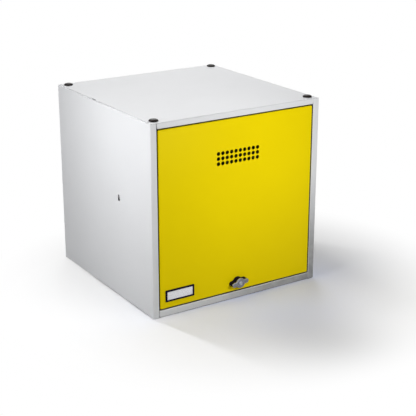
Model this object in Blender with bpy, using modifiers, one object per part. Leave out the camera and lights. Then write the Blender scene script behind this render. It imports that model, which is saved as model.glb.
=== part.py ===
"""Stackable cube locker with a top-hung flap door.

Metres, +Z up. X runs from left to right and Y from the front to the back.
The origin is the centre of the base, on the surface that the locker stands on.
"""

import math

import bmesh
import bpy
from mathutils import Matrix, Vector

# Case
CASE_WIDTH = 0.500
CASE_DEPTH = 0.500
CASE_HEIGHT = 0.500
SHEET = 0.001               # steel sheet of the case and the door
BEND_RADIUS = 0.0025        # outside radius of the folds
JOINT_GAP = 0.0003          # clearance between pieces that touch
CUT_OVERRUN = 0.002         # how far a cutter runs past what it cuts
RELIEF_SLIT = 0.0005        # slit between two folds at a corner
UPRIGHT_FACE = 0.018        # front face beside the door
TOP_FACE = 0.0155           # front face above the door
BOTTOM_FACE = 0.0184        # front face under the door
SEAM_INSET = 0.005          # from the outer side to the edge of the top and the bottom
LAP_MARGIN = 0.001          # from the side panel's lap to the jamb
REAR_FLANGE = 0.015
DECK_REAR_TURN = 0.012      # rear flange of the top and the bottom
DECK_HOOK = 0.008           # turned-up edge behind the top's front flange
FLANGE_NOTCH = 0.0016       # relief beside the upright, at the ends of the top's flange
FLANGE_NOTCH_RISE = 0.0050
STOP_WIDTH = 0.010          # flanges that the closed door rests against
STOP_GAP = 0.002            # from the door's back to those flanges
BACK_INSET = 0.003
BACK_CORNER = 0.004

# Openings in the sides and the top seam
KEYHOLE_SETBACK = 0.165     # from the front face
KEYHOLE_RISE = 0.269        # from the floor to the centre of the round end
KEYHOLE_RADIUS = 0.005
KEYHOLE_NECK = 0.0075
KEYHOLE_LENGTH = 0.0175
NOTCH_SETBACK = 0.2955      # from the front face to the centre of the seam notch
NOTCH_LENGTH = 0.020
NOTCH_WIDTH = 0.0045

# Stacking plugs
PLUG_INSET = 0.022          # from the outer sides to the plug's axis
PLUG_RADIUS = 0.01175
PLUG_CROWN = 0.007          # radius of the flat crown
PLUG_HEIGHT = 0.0048
PLUG_RIM = 0.0018           # height of the upright rim under the dome
PLUG_STEM = 0.0045
PLUG_BARB = 0.006
PLUG_GRIP = 0.0015          # upright land of the barb
PLUG_TAPER = 0.0035
NEST_CLEARANCE = 0.0005     # round the plug of the locker underneath

# Door
DOOR_GAP = 0.0028
DOOR_DEPTH = 0.020
DOOR_HEM = 0.010            # lips that turn in behind the door
STIFFENER_CROWN = 0.034
STIFFENER_FOOT = 0.014
STIFFENER_RISE = 0.205      # from the door's lower edge to the middle of the crown
STIFFENER_END = 0.006       # from the door's folded sides

# Vent
VENT_COLUMNS = 10
VENT_ROWS = 3
VENT_PITCH = 0.013
VENT_RADIUS = 0.0047
VENT_DROP = 0.0970          # from the door's upper edge to the middle row
VENT_SIDES = 20

# Hinge
HINGE_SETBACK = 0.007       # from the door's face to the pin's axis
HINGE_DROP = 0.012          # from the door's upper edge to the pin's axis
HINGE_RELIEF = 0.025        # the stops end this far under the pin's axis
PIN_RADIUS = 0.0025
PIN_HEAD_RADIUS = 0.0045
PIN_HEAD = 0.0015
PIN_REACH = 0.006           # past the door's folded side
PIN_CHAMFER = 0.0006
BUSH_WALL = 0.0012
BUSH_COLLAR_RADIUS = 0.0049
BUSH_REACH = 0.004

# Door buffers
BUFFER_RISE = 0.040         # above the door's lower edge
BUFFER_RADIUS = 0.0035
BUFFER_STEM = 0.0016
BUFFER_BARB = 0.0024
BUFFER_TAIL = 0.0030

# Label holder
LABEL_WIDTH = 0.083
LABEL_HEIGHT = 0.0307
LABEL_DEPTH = 0.0026
LABEL_FRAME = 0.0046
LABEL_LIP = 0.0008
LABEL_REBATE = 0.0015
LABEL_CORNER = 0.0016
LABEL_SIDE = 0.0147         # from the door's left edge
LABEL_RISE = 0.0177         # from the door's lower edge
WINDOW_THICKNESS = 0.0005
CARD_THICKNESS = 0.0004

# Lock
LOCK_RISE = 0.0258          # from the door's lower edge to the lock's axis
LOCK_TILT = math.radians(8.0)
WING_SPAN = 0.0495
WING_RADIUS = 0.006
HUB_RADIUS = 0.01325
WING_FILLET = 0.003
HOUSING_DEPTH = 0.0128
BARREL_RADIUS = 0.009
BARREL_BORE = 0.0050
BARREL_TAIL = 0.021         # behind the door's face
KNOB_DEPTH = 0.0044
KNOB_ROUNDING = 0.0012
SHANK_RADIUS = 0.0078
SHANK_LENGTH = 0.0090
KEY_PLUG_RADIUS = 0.0050
KEY_PLUG_LENGTH = 0.0110
KEY_PLUG_PROUD = 0.0004
KEYWAY_LENGTH = 0.0065
KEYWAY_WIDTH = 0.0014
KEYWAY_DEPTH = 0.0070
SPINDLE_SIDE = 0.0060
SPINDLE_STUD = 0.0022
NUT_ACROSS = 0.024
NUT_THICKNESS = 0.006
WASHER_RADIUS = 0.0125
WASHER_THICKNESS = 0.001
CAM_THICKNESS = 0.0025
CAM_HUB = 0.0080
CAM_TIP = 0.0060
CAM_OVERLAP = 0.0060        # how far the turned cam reaches below the stop's edge
CAM_GAP = 0.0006            # from the keeper to the cam
CAM_NUT_ACROSS = 0.0080
CAM_NUT_THICKNESS = 0.0040
KEEPER_LENGTH = 0.060
KEEPER_LEG = 0.008
KEEPER_SHEET = 0.0010
KEEPER_FOLD = 0.0004

# Facets
FOLD_STEPS = 3
ROUND_SIDES = 24
MERGE_DISTANCE = 0.00001
FOLD_ANGLE = math.radians(30.0)
QUARTER_TURN = math.radians(90.0)

# Places that the sizes above give
FRONT_Y = -CASE_DEPTH / 2
BACK_Y = CASE_DEPTH / 2
REAR_Y = BACK_Y - SHEET - JOINT_GAP
CORNER_RUN = BEND_RADIUS + RELIEF_SLIT
JAMB_X = CASE_WIDTH / 2 - UPRIGHT_FACE
DECK_X = JAMB_X - JOINT_GAP
DOOR_X = JAMB_X - DOOR_GAP
DOOR_LOW = BOTTOM_FACE + DOOR_GAP
DOOR_HIGH = CASE_HEIGHT - TOP_FACE - DOOR_GAP
DOOR_BACK_Y = FRONT_Y + DOOR_DEPTH
STOP_Y = DOOR_BACK_Y + STOP_GAP
STOP_TOP = BOTTOM_FACE + STOP_WIDTH
HINGE_Y = FRONT_Y + HINGE_SETBACK
HINGE_Z = DOOR_HIGH - HINGE_DROP
LOCK_Z = DOOR_LOW + LOCK_RISE
PLUG_X = CASE_WIDTH / 2 - PLUG_INSET
PLUG_Y = CASE_DEPTH / 2 - PLUG_INSET
DECK_RETURN = PLUG_INSET - PLUG_BARB - 2 * SHEET
KEEPER_BACK_Y = STOP_Y + SHEET + JOINT_GAP + KEEPER_SHEET
CAM_Y = KEEPER_BACK_Y + CAM_GAP
BUSH_RADIUS = PIN_RADIUS + JOINT_GAP + BUSH_WALL
CORNERS = {
    "front_left": (-PLUG_X, -PLUG_Y),
    "front_right": (PLUG_X, -PLUG_Y),
    "rear_left": (-PLUG_X, PLUG_Y),
    "rear_right": (PLUG_X, PLUG_Y),
}
SIDES = {"left": -1, "right": 1}


def clear_scene():
    """Empty the file of the objects it opened with."""
    for item in list(bpy.data.objects):
        bpy.data.objects.remove(item, do_unlink=True)


def new_collection(name):
    """Add a collection to the scene."""
    group = bpy.data.collections.new(name)
    bpy.context.scene.collection.children.link(group)
    return group


def finish(name, color, roughness, metallic=0.0, alpha=1.0):
    """Make a material from its colour, roughness and metallic value."""
    material = bpy.data.materials.new(name)
    material.use_nodes = True
    shader = material.node_tree.nodes["Principled BSDF"]
    shader.inputs["Base Color"].default_value = (*color, 1.0)
    shader.inputs["Roughness"].default_value = roughness
    shader.inputs["Metallic"].default_value = metallic
    shader.inputs["Alpha"].default_value = alpha
    return material


def case_paint(name):
    """Light grey powder coat of the case."""
    return finish(name, (0.68, 0.70, 0.70), 0.42)


def door_paint(name):
    """Yellow powder coat of the door."""
    return finish(name, (0.82, 0.62, 0.003), 0.40)


def zinc_plate(name):
    """Bright zinc on the small steel pieces."""
    return finish(name, (0.62, 0.63, 0.64), 0.35, 1.0)


def cast_silver(name):
    """Satin nickel on the cast knob."""
    return finish(name, (0.66, 0.66, 0.68), 0.30, 1.0)


def black_plastic(name):
    """Moulded black plastic."""
    return finish(name, (0.012, 0.012, 0.015), 0.45)


def black_rubber(name):
    """Soft black rubber."""
    return finish(name, (0.02, 0.02, 0.02), 0.80)


def white_card(name):
    """Blank white card."""
    return finish(name, (0.62, 0.67, 0.75), 0.70)


def clear_plastic(name):
    """Clear plastic cover."""
    return finish(name, (0.90, 0.92, 0.94), 0.10, 0.0, 0.3)


def add_piece(name, mesh, paint):
    """Put a mesh in the locker's collection with its own material."""
    mesh.shade_smooth()
    mesh.set_sharp_from_angle(angle=FOLD_ANGLE)
    mesh.materials.append(paint(name + "_finish"))
    piece = bpy.data.objects.new(name, mesh)
    LOCKER.objects.link(piece)
    return piece


def add_cutter(name, mesh):
    """Put a mesh in the cutters' collection, out of the model."""
    cutter = bpy.data.objects.new(name, mesh)
    cutter.hide_render = True
    cutter.display_type = "WIRE"
    CUTTERS.objects.link(cutter)
    return cutter


def add_marker(name, location, rotation=(0, 0, 0), parent=None):
    """Add an empty, such as a joint's axis."""
    marker = bpy.data.objects.new(name, None)
    marker.location = location
    marker.rotation_euler = rotation
    LOCKER.objects.link(marker)
    bpy.context.view_layer.update()
    if parent:
        follow(marker, parent)
    return marker


def follow(item, parent):
    """Parent an item and leave it where it is."""
    bpy.context.view_layer.update()
    item.parent = parent
    item.matrix_parent_inverse = parent.matrix_world.inverted()


def mount_on(item, parent, height=0.0):
    """Parent an item in its parent's own frame, at a height along the parent's Z axis."""
    item.parent = parent
    item.location = (0, 0, height)


def cut(piece, cutter):
    """Take a cutter's shape out of a piece."""
    step = piece.modifiers.new("cut_" + cutter.name, "BOOLEAN")
    step.operation = "DIFFERENCE"
    step.object = cutter


def join(piece, body):
    """Join a second body to a piece."""
    step = piece.modifiers.new("join_" + body.name, "BOOLEAN")
    step.operation = "UNION"
    step.object = body


def mesh_from(name, bm):
    """Close a bmesh into a named mesh."""
    mesh = bpy.data.meshes.new(name)
    bm.to_mesh(mesh)
    bm.free()
    return mesh


def box_mesh(name, low, high):
    """A box between two corners."""
    low = Vector(low)
    high = Vector(high)
    bm = bmesh.new()
    bmesh.ops.create_cube(bm, size=1)
    bmesh.ops.scale(bm, verts=bm.verts, vec=high - low)
    bmesh.ops.translate(bm, verts=bm.verts, vec=(low + high) / 2)
    return mesh_from(name, bm)


def rods_mesh(name, radius, rods, sides=ROUND_SIDES):
    """Round rods, each between two points."""
    bm = bmesh.new()
    for start, end in rods:
        start = Vector(start)
        axis = Vector(end) - start
        turn = Vector((0, 0, 1)).rotation_difference(axis).to_matrix().to_4x4()
        place = Matrix.Translation(start + axis / 2) @ turn
        bmesh.ops.create_cone(
            bm, cap_ends=True, segments=sides, radius1=radius, radius2=radius,
            depth=axis.length, matrix=place,
        )
    return mesh_from(name, bm)


def sweep(bm, points, shift):
    """Draw a folded profile, sweep it into a sheet and return its two rows of corners."""
    near = [bm.verts.new(point) for point in points]
    edges = [bm.edges.new(pair) for pair in zip(near, near[1:])]
    made = bmesh.ops.extrude_edge_only(bm, edges=edges)["geom"]
    corners = [item for item in made if isinstance(item, bmesh.types.BMVert)]
    far = [min(corners, key=lambda corner: (corner.co - vert.co).length) for vert in near]
    bmesh.ops.translate(bm, verts=far, vec=shift)
    return near, far


def flap(bm, start, end, shift):
    """Carry the edge between two corners on as a new strip of sheet."""
    edge = bm.edges.get((start, end))
    made = bmesh.ops.extrude_edge_only(bm, edges=[edge])["geom"]
    corners = [item for item in made if isinstance(item, bmesh.types.BMVert)]
    corners.sort(key=lambda corner: (corner.co - start.co).length)
    bmesh.ops.translate(bm, verts=corners, vec=shift)
    return corners


def folded_sheet(name, bm, outward, paint, thickness=SHEET, fold=BEND_RADIUS):
    """Turn an open surface to look outward, fold it and give it a thickness inward."""
    bmesh.ops.recalc_face_normals(bm, faces=bm.faces)
    outward = Vector(outward)
    web = max(bm.faces, key=lambda face: face.calc_area() * abs(face.normal.dot(outward)))
    if web.normal.dot(outward) < 0:
        bmesh.ops.reverse_faces(bm, faces=bm.faces)
    piece = add_piece(name, mesh_from(name, bm), paint)
    bend = piece.modifiers.new("bend", "BEVEL")
    bend.width = fold
    bend.segments = FOLD_STEPS
    bend.limit_method = "ANGLE"
    bend.angle_limit = FOLD_ANGLE
    wall = piece.modifiers.new("wall", "SOLIDIFY")
    wall.thickness = thickness
    wall.offset = -1
    wall.use_even_offset = True
    return piece


def arc(center, radius, start, end, steps):
    """Points along an arc, both ends included."""
    turns = [start + (end - start) * step / steps for step in range(steps + 1)]
    return [
        (center[0] + radius * math.cos(turn), center[1] + radius * math.sin(turn))
        for turn in turns
    ]


def circle(radius, sides=ROUND_SIDES):
    """Points round a circle."""
    return arc((0, 0), radius, 0, 2 * math.pi * (sides - 1) / sides, sides - 1)


def rounded_rectangle(width, height, corner, steps=FOLD_STEPS):
    """Outline of a rectangle with round corners, about its centre."""
    reach_x = width / 2 - corner
    reach_y = height / 2 - corner
    outline = []
    for index, (x, y) in enumerate(((1, 1), (-1, 1), (-1, -1), (1, -1))):
        start = index * QUARTER_TURN
        outline += arc((x * reach_x, y * reach_y), corner, start, start + QUARTER_TURN, steps)
    return outline


def polygon(across, sides):
    """Outline of a regular polygon, measured across its flats."""
    radius = across / 2 / math.cos(math.pi / sides)
    return [
        (radius * math.cos(turn), radius * math.sin(turn))
        for turn in (2 * math.pi * (index + 1 / 2) / sides for index in range(sides))
    ]


def wing_outline():
    """Outline of the knob: a round hub, two round wings and fillets between them."""
    wing_x = WING_SPAN / 2 - WING_RADIUS
    fillet_y = WING_RADIUS + WING_FILLET
    fillet_x = math.sqrt((HUB_RADIUS + WING_FILLET) ** 2 - fillet_y ** 2)
    meet = math.atan2(fillet_y, fillet_x)
    quarter = arc((wing_x, 0), WING_RADIUS, 0, QUARTER_TURN, 5)
    quarter += arc((fillet_x, fillet_y), WING_FILLET, -QUARTER_TURN, meet - math.pi, 3)
    quarter += arc((0, 0), HUB_RADIUS, meet, QUARTER_TURN, 5)[1:]
    upper = quarter + [(-x, y) for x, y in reversed(quarter[:-1])]
    return upper + [(-x, -y) for x, y in upper[1:-1]]


def cam_outline():
    """Outline of the cam, pointing along +X from its round hub."""
    reach = LOCK_Z - STOP_TOP + CAM_OVERLAP
    tip = arc((reach - CAM_TIP, 0), CAM_TIP, -QUARTER_TURN, QUARTER_TURN, 8)
    return tip + arc((0, 0), CAM_HUB, QUARTER_TURN, 3 * QUARTER_TURN, 8)


def keyhole_outline():
    """Outline of a round hole with a narrow neck above it."""
    half_neck = KEYHOLE_NECK / 2
    meet = math.asin(half_neck / KEYHOLE_RADIUS)
    top = KEYHOLE_LENGTH - KEYHOLE_RADIUS - half_neck
    ring = arc(
        (0, 0), KEYHOLE_RADIUS, QUARTER_TURN + meet, 5 * QUARTER_TURN - meet, 12
    )
    return ring + arc((0, top), half_neck, 0, 2 * QUARTER_TURN, 6)


def plate_mesh(name, thickness, outline, *holes):
    """A flat plate from an outline in the XY plane, centred on Z = 0."""
    curve = bpy.data.curves.new(name, "CURVE")
    curve.dimensions = "2D"
    curve.fill_mode = "BOTH"
    curve.extrude = thickness / 2
    for loop in (outline, *holes):
        spline = curve.splines.new("POLY")
        spline.points.add(len(loop) - 1)
        for point, (x, y) in zip(spline.points, loop):
            point.co = (x, y, 0, 1)
        spline.use_cyclic_u = True
    drawn = bpy.data.objects.new(name, curve)
    CUTTERS.objects.link(drawn)
    view = bpy.context.evaluated_depsgraph_get()
    mesh = bpy.data.meshes.new_from_object(drawn.evaluated_get(view))
    bpy.data.objects.remove(drawn)
    bpy.data.curves.remove(curve)
    bm = bmesh.new()
    bm.from_mesh(mesh)
    bmesh.ops.remove_doubles(bm, verts=bm.verts, dist=MERGE_DISTANCE)
    bmesh.ops.recalc_face_normals(bm, faces=bm.faces)
    if not holes:
        for side in SIDES.values():
            cap = [
                face for face in bm.faces if all(vert.co.z * side > 0 for vert in face.verts)
            ]
            bmesh.ops.dissolve_faces(bm, faces=cap)
    bm.to_mesh(mesh)
    bm.free()
    mesh.name = name
    return mesh


def turned(name, profile, paint, ring=False):
    """Turn a profile of (radius, height) points, outer side first, about the local Z axis."""
    bm = bmesh.new()
    points = [bm.verts.new((radius, 0, height)) for radius, height in profile]
    for pair in zip(points, points[1:]):
        bm.edges.new(pair)
    if ring:
        bm.edges.new((points[-1], points[0]))
    piece = add_piece(name, mesh_from(name, bm), paint)
    turn = piece.modifiers.new("turn", "SCREW")
    turn.steps = ROUND_SIDES
    turn.render_steps = ROUND_SIDES
    turn.use_merge_vertices = True
    turn.merge_threshold = MERGE_DISTANCE
    turn.use_smooth_shade = True
    return piece


def lift_to(mesh, height):
    """Move a mesh along its own Z axis."""
    mesh.transform(Matrix.Translation((0, 0, height)))
    return mesh


def jamb_cutters(side):
    """Room for the hinge at the top of a jamb and for the lower stop at its foot."""
    outer = side * (JAMB_X + SHEET + RELIEF_SLIT)
    inner = side * (JAMB_X - STOP_WIDTH - CUT_OVERRUN)
    left, right = sorted((outer, inner))
    back = STOP_Y + SHEET + CUT_OVERRUN
    hinge_low = HINGE_Z - HINGE_RELIEF
    top = box_mesh(
        "hinge_relief", (left, FRONT_Y + DECK_RETURN, hinge_low), (right, back, CASE_HEIGHT)
    )
    foot_high = STOP_TOP + JOINT_GAP
    foot = box_mesh("stop_relief", (left, STOP_Y - CORNER_RUN, 0), (right, back, foot_high))
    return add_cutter("hinge_relief", top), add_cutter("stop_relief", foot)


def pin_hole_cutter(radius, name):
    """Holes on the hinge axis, through both jambs or both sides of the door."""
    reach = CASE_WIDTH / 2 - REAR_FLANGE / 2
    inner = DOOR_X - BEND_RADIUS - CUT_OVERRUN
    rods = [
        ((side * inner, HINGE_Y, HINGE_Z), (side * reach, HINGE_Y, HINGE_Z))
        for side in SIDES.values()
    ]
    return add_cutter(name, rods_mesh(name, radius, rods))


def buffer_place(side):
    """Centre of a buffer's seat on the stop flange, just clear of the jamb's fold."""
    clear = BEND_RADIUS + JOINT_GAP + BUFFER_RADIUS
    return (side * (JAMB_X - clear), STOP_Y, DOOR_LOW + BUFFER_RISE)


def buffer_hole_cutter():
    """Holes for the stems of the two buffers."""
    rods = []
    for side in SIDES.values():
        x, y, z = buffer_place(side)
        rods.append(((x, y - CUT_OVERRUN, z), (x, y + SHEET + CUT_OVERRUN, z)))
    mesh = rods_mesh("buffer_holes", BUFFER_STEM + JOINT_GAP, rods)
    return add_cutter("buffer_holes", mesh)


def corner_cutter(name, radius, low, high):
    """Round cutters on the axes of the four stacking plugs."""
    rods = [((x, y, low), (x, y, high)) for x, y in CORNERS.values()]
    return add_cutter(name, rods_mesh(name, radius, rods))


def notch_cutter(side):
    """Slot across the edge of the top and the side panel's lap."""
    width = NOTCH_LENGTH
    outline = rounded_rectangle(NOTCH_WIDTH, width, NOTCH_WIDTH / 2 - RELIEF_SLIT)
    thickness = 2 * (SHEET + CUT_OVERRUN)
    cutter = add_cutter("seam_notch", plate_mesh("seam_notch", thickness, outline))
    x = side * (CASE_WIDTH / 2 - SEAM_INSET)
    cutter.location = (x, FRONT_Y + NOTCH_SETBACK, CASE_HEIGHT)
    return cutter


def keyhole_cutter(side):
    """Keyhole slot through a side panel."""
    thickness = 2 * (SHEET + CUT_OVERRUN)
    cutter = add_cutter("keyhole", plate_mesh("keyhole", thickness, keyhole_outline()))
    cutter.rotation_euler = (QUARTER_TURN, 0, QUARTER_TURN)
    cutter.location = (side * CASE_WIDTH / 2, FRONT_Y + KEYHOLE_SETBACK, KEYHOLE_RISE)
    return cutter


def side_panel(side_name, shared_cutters):
    """Side of the case, folded with its front face, jamb, stop, rear flange and lap lips."""
    side = SIDES[side_name]
    outer = side * CASE_WIDTH / 2
    jamb = side * JAMB_X
    low = SHEET + JOINT_GAP
    high = CASE_HEIGHT - SHEET - JOINT_GAP
    plan = [
        (jamb - side * STOP_WIDTH, STOP_Y, low),
        (jamb, STOP_Y, low),
        (jamb, FRONT_Y, low),
        (outer, FRONT_Y, low),
        (outer, FRONT_Y + CORNER_RUN, low),
        (outer, REAR_Y - CORNER_RUN, low),
        (outer, REAR_Y, low),
        (outer - side * REAR_FLANGE, REAR_Y, low),
    ]
    lap_ends = slice(4, 6)
    lap = (-side * (UPRIGHT_FACE - SHEET - LAP_MARGIN), 0, 0)
    bm = bmesh.new()
    for row in sweep(bm, plan, (0, 0, high - low)):
        flap(bm, *row[lap_ends], lap)
    piece = folded_sheet(side_name + "_side_panel", bm, (side, 0, 0), case_paint)
    for cutter in (*jamb_cutters(side), keyhole_cutter(side), notch_cutter(side), *shared_cutters):
        cut(piece, cutter)
    return piece


def deck(name, profile, outward, paint=case_paint):
    """Top or bottom of the case: a folded middle strip with ears over the side panels."""
    inner = DECK_X
    slit = RELIEF_SLIT
    outer = CASE_WIDTH / 2 - SEAM_INSET
    bm = bmesh.new()
    points = [(-inner, y, z) for y, z in profile]
    left_row, right_row = sweep(bm, points, (2 * inner, 0, 0))
    web = slice(-4, -2)
    for side, row in ((-1, left_row), (1, right_row)):
        front, rear = flap(bm, *row[web], (side * slit, 0, 0))
        far_front, far_rear = flap(bm, front, rear, (side * (outer - inner - slit), 0, 0))
        flap(bm, front, far_front, (0, -CORNER_RUN, 0))
        flap(bm, rear, far_rear, (0, CORNER_RUN, 0))
    return folded_sheet(name, bm, outward, paint)


def top_panel(plug_holes):
    """Top of the case, with its front flange folded back into a hook."""
    low = CASE_HEIGHT - TOP_FACE
    return_y = FRONT_Y + DECK_RETURN
    profile = [
        (return_y, low + DECK_HOOK),
        (return_y, low),
        (FRONT_Y, low),
        (FRONT_Y, CASE_HEIGHT),
        (FRONT_Y + CORNER_RUN, CASE_HEIGHT),
        (REAR_Y - CORNER_RUN, CASE_HEIGHT),
        (REAR_Y, CASE_HEIGHT),
        (REAR_Y, CASE_HEIGHT - DECK_REAR_TURN),
    ]
    piece = deck("top_panel", profile, (0, 0, 1))
    cut(piece, plug_holes)
    for side in SIDES.values():
        cut(piece, notch_cutter(side))
        cut(piece, flange_notch_cutter(side))
    return piece


def flange_notch_cutter(side):
    """Relief at an end of the top's front flange, where its lower fold begins."""
    low = CASE_HEIGHT - TOP_FACE
    inner = side * (DECK_X - FLANGE_NOTCH)
    outer = side * (DECK_X + CUT_OVERRUN)
    left, right = sorted((inner, outer))
    near = (left, FRONT_Y - CUT_OVERRUN, low - CUT_OVERRUN)
    far = (right, FRONT_Y + CORNER_RUN, low + FLANGE_NOTCH_RISE)
    return add_cutter("flange_notch", box_mesh("flange_notch", near, far))


def bottom_panel(nest_holes):
    """Bottom of the case, its front flange folded back and up into the door's lower stop."""
    profile = [
        (STOP_Y, STOP_TOP),
        (STOP_Y, BOTTOM_FACE),
        (FRONT_Y, BOTTOM_FACE),
        (FRONT_Y, 0),
        (FRONT_Y + CORNER_RUN, 0),
        (REAR_Y - CORNER_RUN, 0),
        (REAR_Y, 0),
        (REAR_Y, DECK_REAR_TURN),
    ]
    piece = deck("bottom_panel", profile, (0, 0, -1))
    cut(piece, nest_holes)
    return piece


def back_panel():
    """Flat back, lapped on the rear flanges."""
    outline = rounded_rectangle(
        CASE_WIDTH - 2 * BACK_INSET, CASE_HEIGHT - 2 * BACK_INSET, BACK_CORNER
    )
    piece = add_piece("back_panel", plate_mesh("back_panel", SHEET, outline), case_paint)
    piece.rotation_euler = (QUARTER_TURN, 0, 0)
    piece.location = (0, BACK_Y - SHEET / 2, CASE_HEIGHT / 2)
    return piece


def stacking_plug(corner, place):
    """Mushroom plug pushed into the top, which finds the hole under the next locker."""
    seat = JOINT_GAP
    neck = -SHEET - JOINT_GAP
    profile = [
        (0, PLUG_HEIGHT),
        (PLUG_CROWN, PLUG_HEIGHT),
        ((PLUG_CROWN + PLUG_RADIUS) / 2, (PLUG_HEIGHT * 3 + PLUG_RIM) / 4),
        (PLUG_RADIUS, PLUG_RIM),
        (PLUG_RADIUS, seat),
        (PLUG_STEM, seat),
        (PLUG_STEM, neck),
        (PLUG_BARB, neck),
        (PLUG_BARB, neck - PLUG_GRIP),
        (PLUG_STEM, neck - PLUG_GRIP - PLUG_TAPER),
        (0, neck - PLUG_GRIP - PLUG_TAPER),
    ]
    piece = turned("stacking_plug_" + corner, profile, black_plastic)
    piece.location = (*place, CASE_HEIGHT)
    return piece


def door_panel(axis, pin_holes, lock_hole):
    """Door: a pan with folded edges, closed corners, hemmed lips and the vent's holes."""
    width = 2 * DOOR_X
    height = DOOR_HIGH - DOOR_LOW
    bm = bmesh.new()
    bmesh.ops.create_cube(bm, size=1)
    bmesh.ops.scale(bm, verts=bm.verts, vec=(width, DOOR_DEPTH, height))
    rear = max(bm.faces, key=lambda face: face.calc_center_median().y)
    bmesh.ops.inset_individual(bm, faces=[rear], thickness=DOOR_HEM)
    bmesh.ops.delete(bm, geom=[rear], context="FACES_ONLY")
    middle = (0, FRONT_Y + DOOR_DEPTH / 2, (DOOR_LOW + DOOR_HIGH) / 2)
    bmesh.ops.translate(bm, verts=bm.verts, vec=middle)
    piece = folded_sheet("door_panel", bm, (0, -1, 0), door_paint)
    for cutter in (vent_cutter(), pin_holes, lock_hole):
        cut(piece, cutter)
    follow(piece, axis)
    return piece


def vent_cutter():
    """Rows of round vent holes near the top of the door."""
    z = DOOR_HIGH - VENT_DROP
    rods = []
    for row in range(VENT_ROWS):
        for column in range(VENT_COLUMNS):
            x = (column - (VENT_COLUMNS - 1) / 2) * VENT_PITCH
            height = z + (row - (VENT_ROWS - 1) / 2) * VENT_PITCH
            front = (x, FRONT_Y - CUT_OVERRUN, height)
            rods.append((front, (x, FRONT_Y + SHEET + CUT_OVERRUN, height)))
    return add_cutter("vent_holes", rods_mesh("vent_holes", VENT_RADIUS, rods, VENT_SIDES))


def door_stiffener(axis):
    """Hat section across the inside of the door, its feet on the front sheet."""
    foot_y = FRONT_Y + 2 * SHEET + JOINT_GAP
    crown_y = DOOR_BACK_Y - SHEET - JOINT_GAP
    half_crown = STIFFENER_CROWN / 2
    reach = half_crown + STIFFENER_FOOT
    half_length = DOOR_X - SHEET - STIFFENER_END
    middle = DOOR_LOW + STIFFENER_RISE
    profile = [
        (foot_y, -reach),
        (foot_y, -half_crown),
        (crown_y, -half_crown),
        (crown_y, half_crown),
        (foot_y, half_crown),
        (foot_y, reach),
    ]
    points = [(-half_length, y, middle + z) for y, z in profile]
    bm = bmesh.new()
    sweep(bm, points, (2 * half_length, 0, 0))
    piece = folded_sheet("door_stiffener", bm, (0, 1, 0), door_paint)
    follow(piece, axis)
    return piece


def hinge_pin(side_name):
    """Headed pin through the jamb into the door's folded side."""
    shoulder = JAMB_X + SHEET + JOINT_GAP
    tip = DOOR_X - SHEET - PIN_REACH
    length = shoulder - tip
    profile = [
        (0, PIN_HEAD),
        (PIN_HEAD_RADIUS - PIN_CHAMFER, PIN_HEAD),
        (PIN_HEAD_RADIUS, PIN_HEAD - PIN_CHAMFER),
        (PIN_HEAD_RADIUS, 0),
        (PIN_RADIUS, 0),
        (PIN_RADIUS, PIN_CHAMFER - length),
        (PIN_RADIUS - PIN_CHAMFER, -length),
        (0, -length),
    ]
    side = SIDES[side_name]
    piece = turned("hinge_pin_" + side_name, profile, zinc_plate)
    piece.rotation_euler = (0, side * QUARTER_TURN, 0)
    piece.location = (side * shoulder, HINGE_Y, HINGE_Z)
    return piece


def hinge_bush(side_name, axis):
    """Collared bush in the door's folded side, running on the pin."""
    bore = PIN_RADIUS + JOINT_GAP
    collar_low = JOINT_GAP
    collar_high = DOOR_GAP - JOINT_GAP
    tail = -SHEET - BUSH_REACH
    profile = [
        (bore, collar_high),
        (BUSH_COLLAR_RADIUS, collar_high),
        (BUSH_COLLAR_RADIUS, collar_low),
        (BUSH_RADIUS, collar_low),
        (BUSH_RADIUS, tail),
        (bore, tail),
    ]
    side = SIDES[side_name]
    piece = turned("hinge_bush_" + side_name, profile, black_plastic, ring=True)
    piece.rotation_euler = (0, side * QUARTER_TURN, 0)
    piece.location = (side * DOOR_X, HINGE_Y, HINGE_Z)
    follow(piece, axis)
    return piece


def door_buffer(side_name):
    """Rubber buffer pushed through the stop flange."""
    crown = STOP_GAP - JOINT_GAP
    behind = -SHEET - JOINT_GAP
    profile = [
        (0, crown),
        (BUFFER_RADIUS - JOINT_GAP, crown),
        (BUFFER_RADIUS, crown - JOINT_GAP),
        (BUFFER_RADIUS, JOINT_GAP),
        (BUFFER_STEM, JOINT_GAP),
        (BUFFER_STEM, behind),
        (BUFFER_BARB, behind),
        (BUFFER_STEM, behind - BUFFER_TAIL),
        (0, behind - BUFFER_TAIL),
    ]
    piece = turned("door_buffer_" + side_name, profile, black_rubber)
    piece.rotation_euler = (QUARTER_TURN, 0, 0)
    piece.location = buffer_place(SIDES[side_name])
    return piece


def lock_keeper():
    """Wear clip over the lower stop, behind which the cam turns."""
    skin = JOINT_GAP + KEEPER_SHEET
    front_y = STOP_Y - skin
    top = STOP_TOP + skin
    profile = [
        (front_y, top - KEEPER_LEG),
        (front_y, top),
        (KEEPER_BACK_Y, top),
        (KEEPER_BACK_Y, top - KEEPER_LEG),
    ]
    points = [(-KEEPER_LENGTH / 2, y, z) for y, z in profile]
    bm = bmesh.new()
    sweep(bm, points, (KEEPER_LENGTH, 0, 0))
    clip = folded_sheet(
        "lock_keeper", bm, (0, 0, 1), zinc_plate, KEEPER_SHEET, KEEPER_SHEET + KEEPER_FOLD
    )
    return clip


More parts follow.
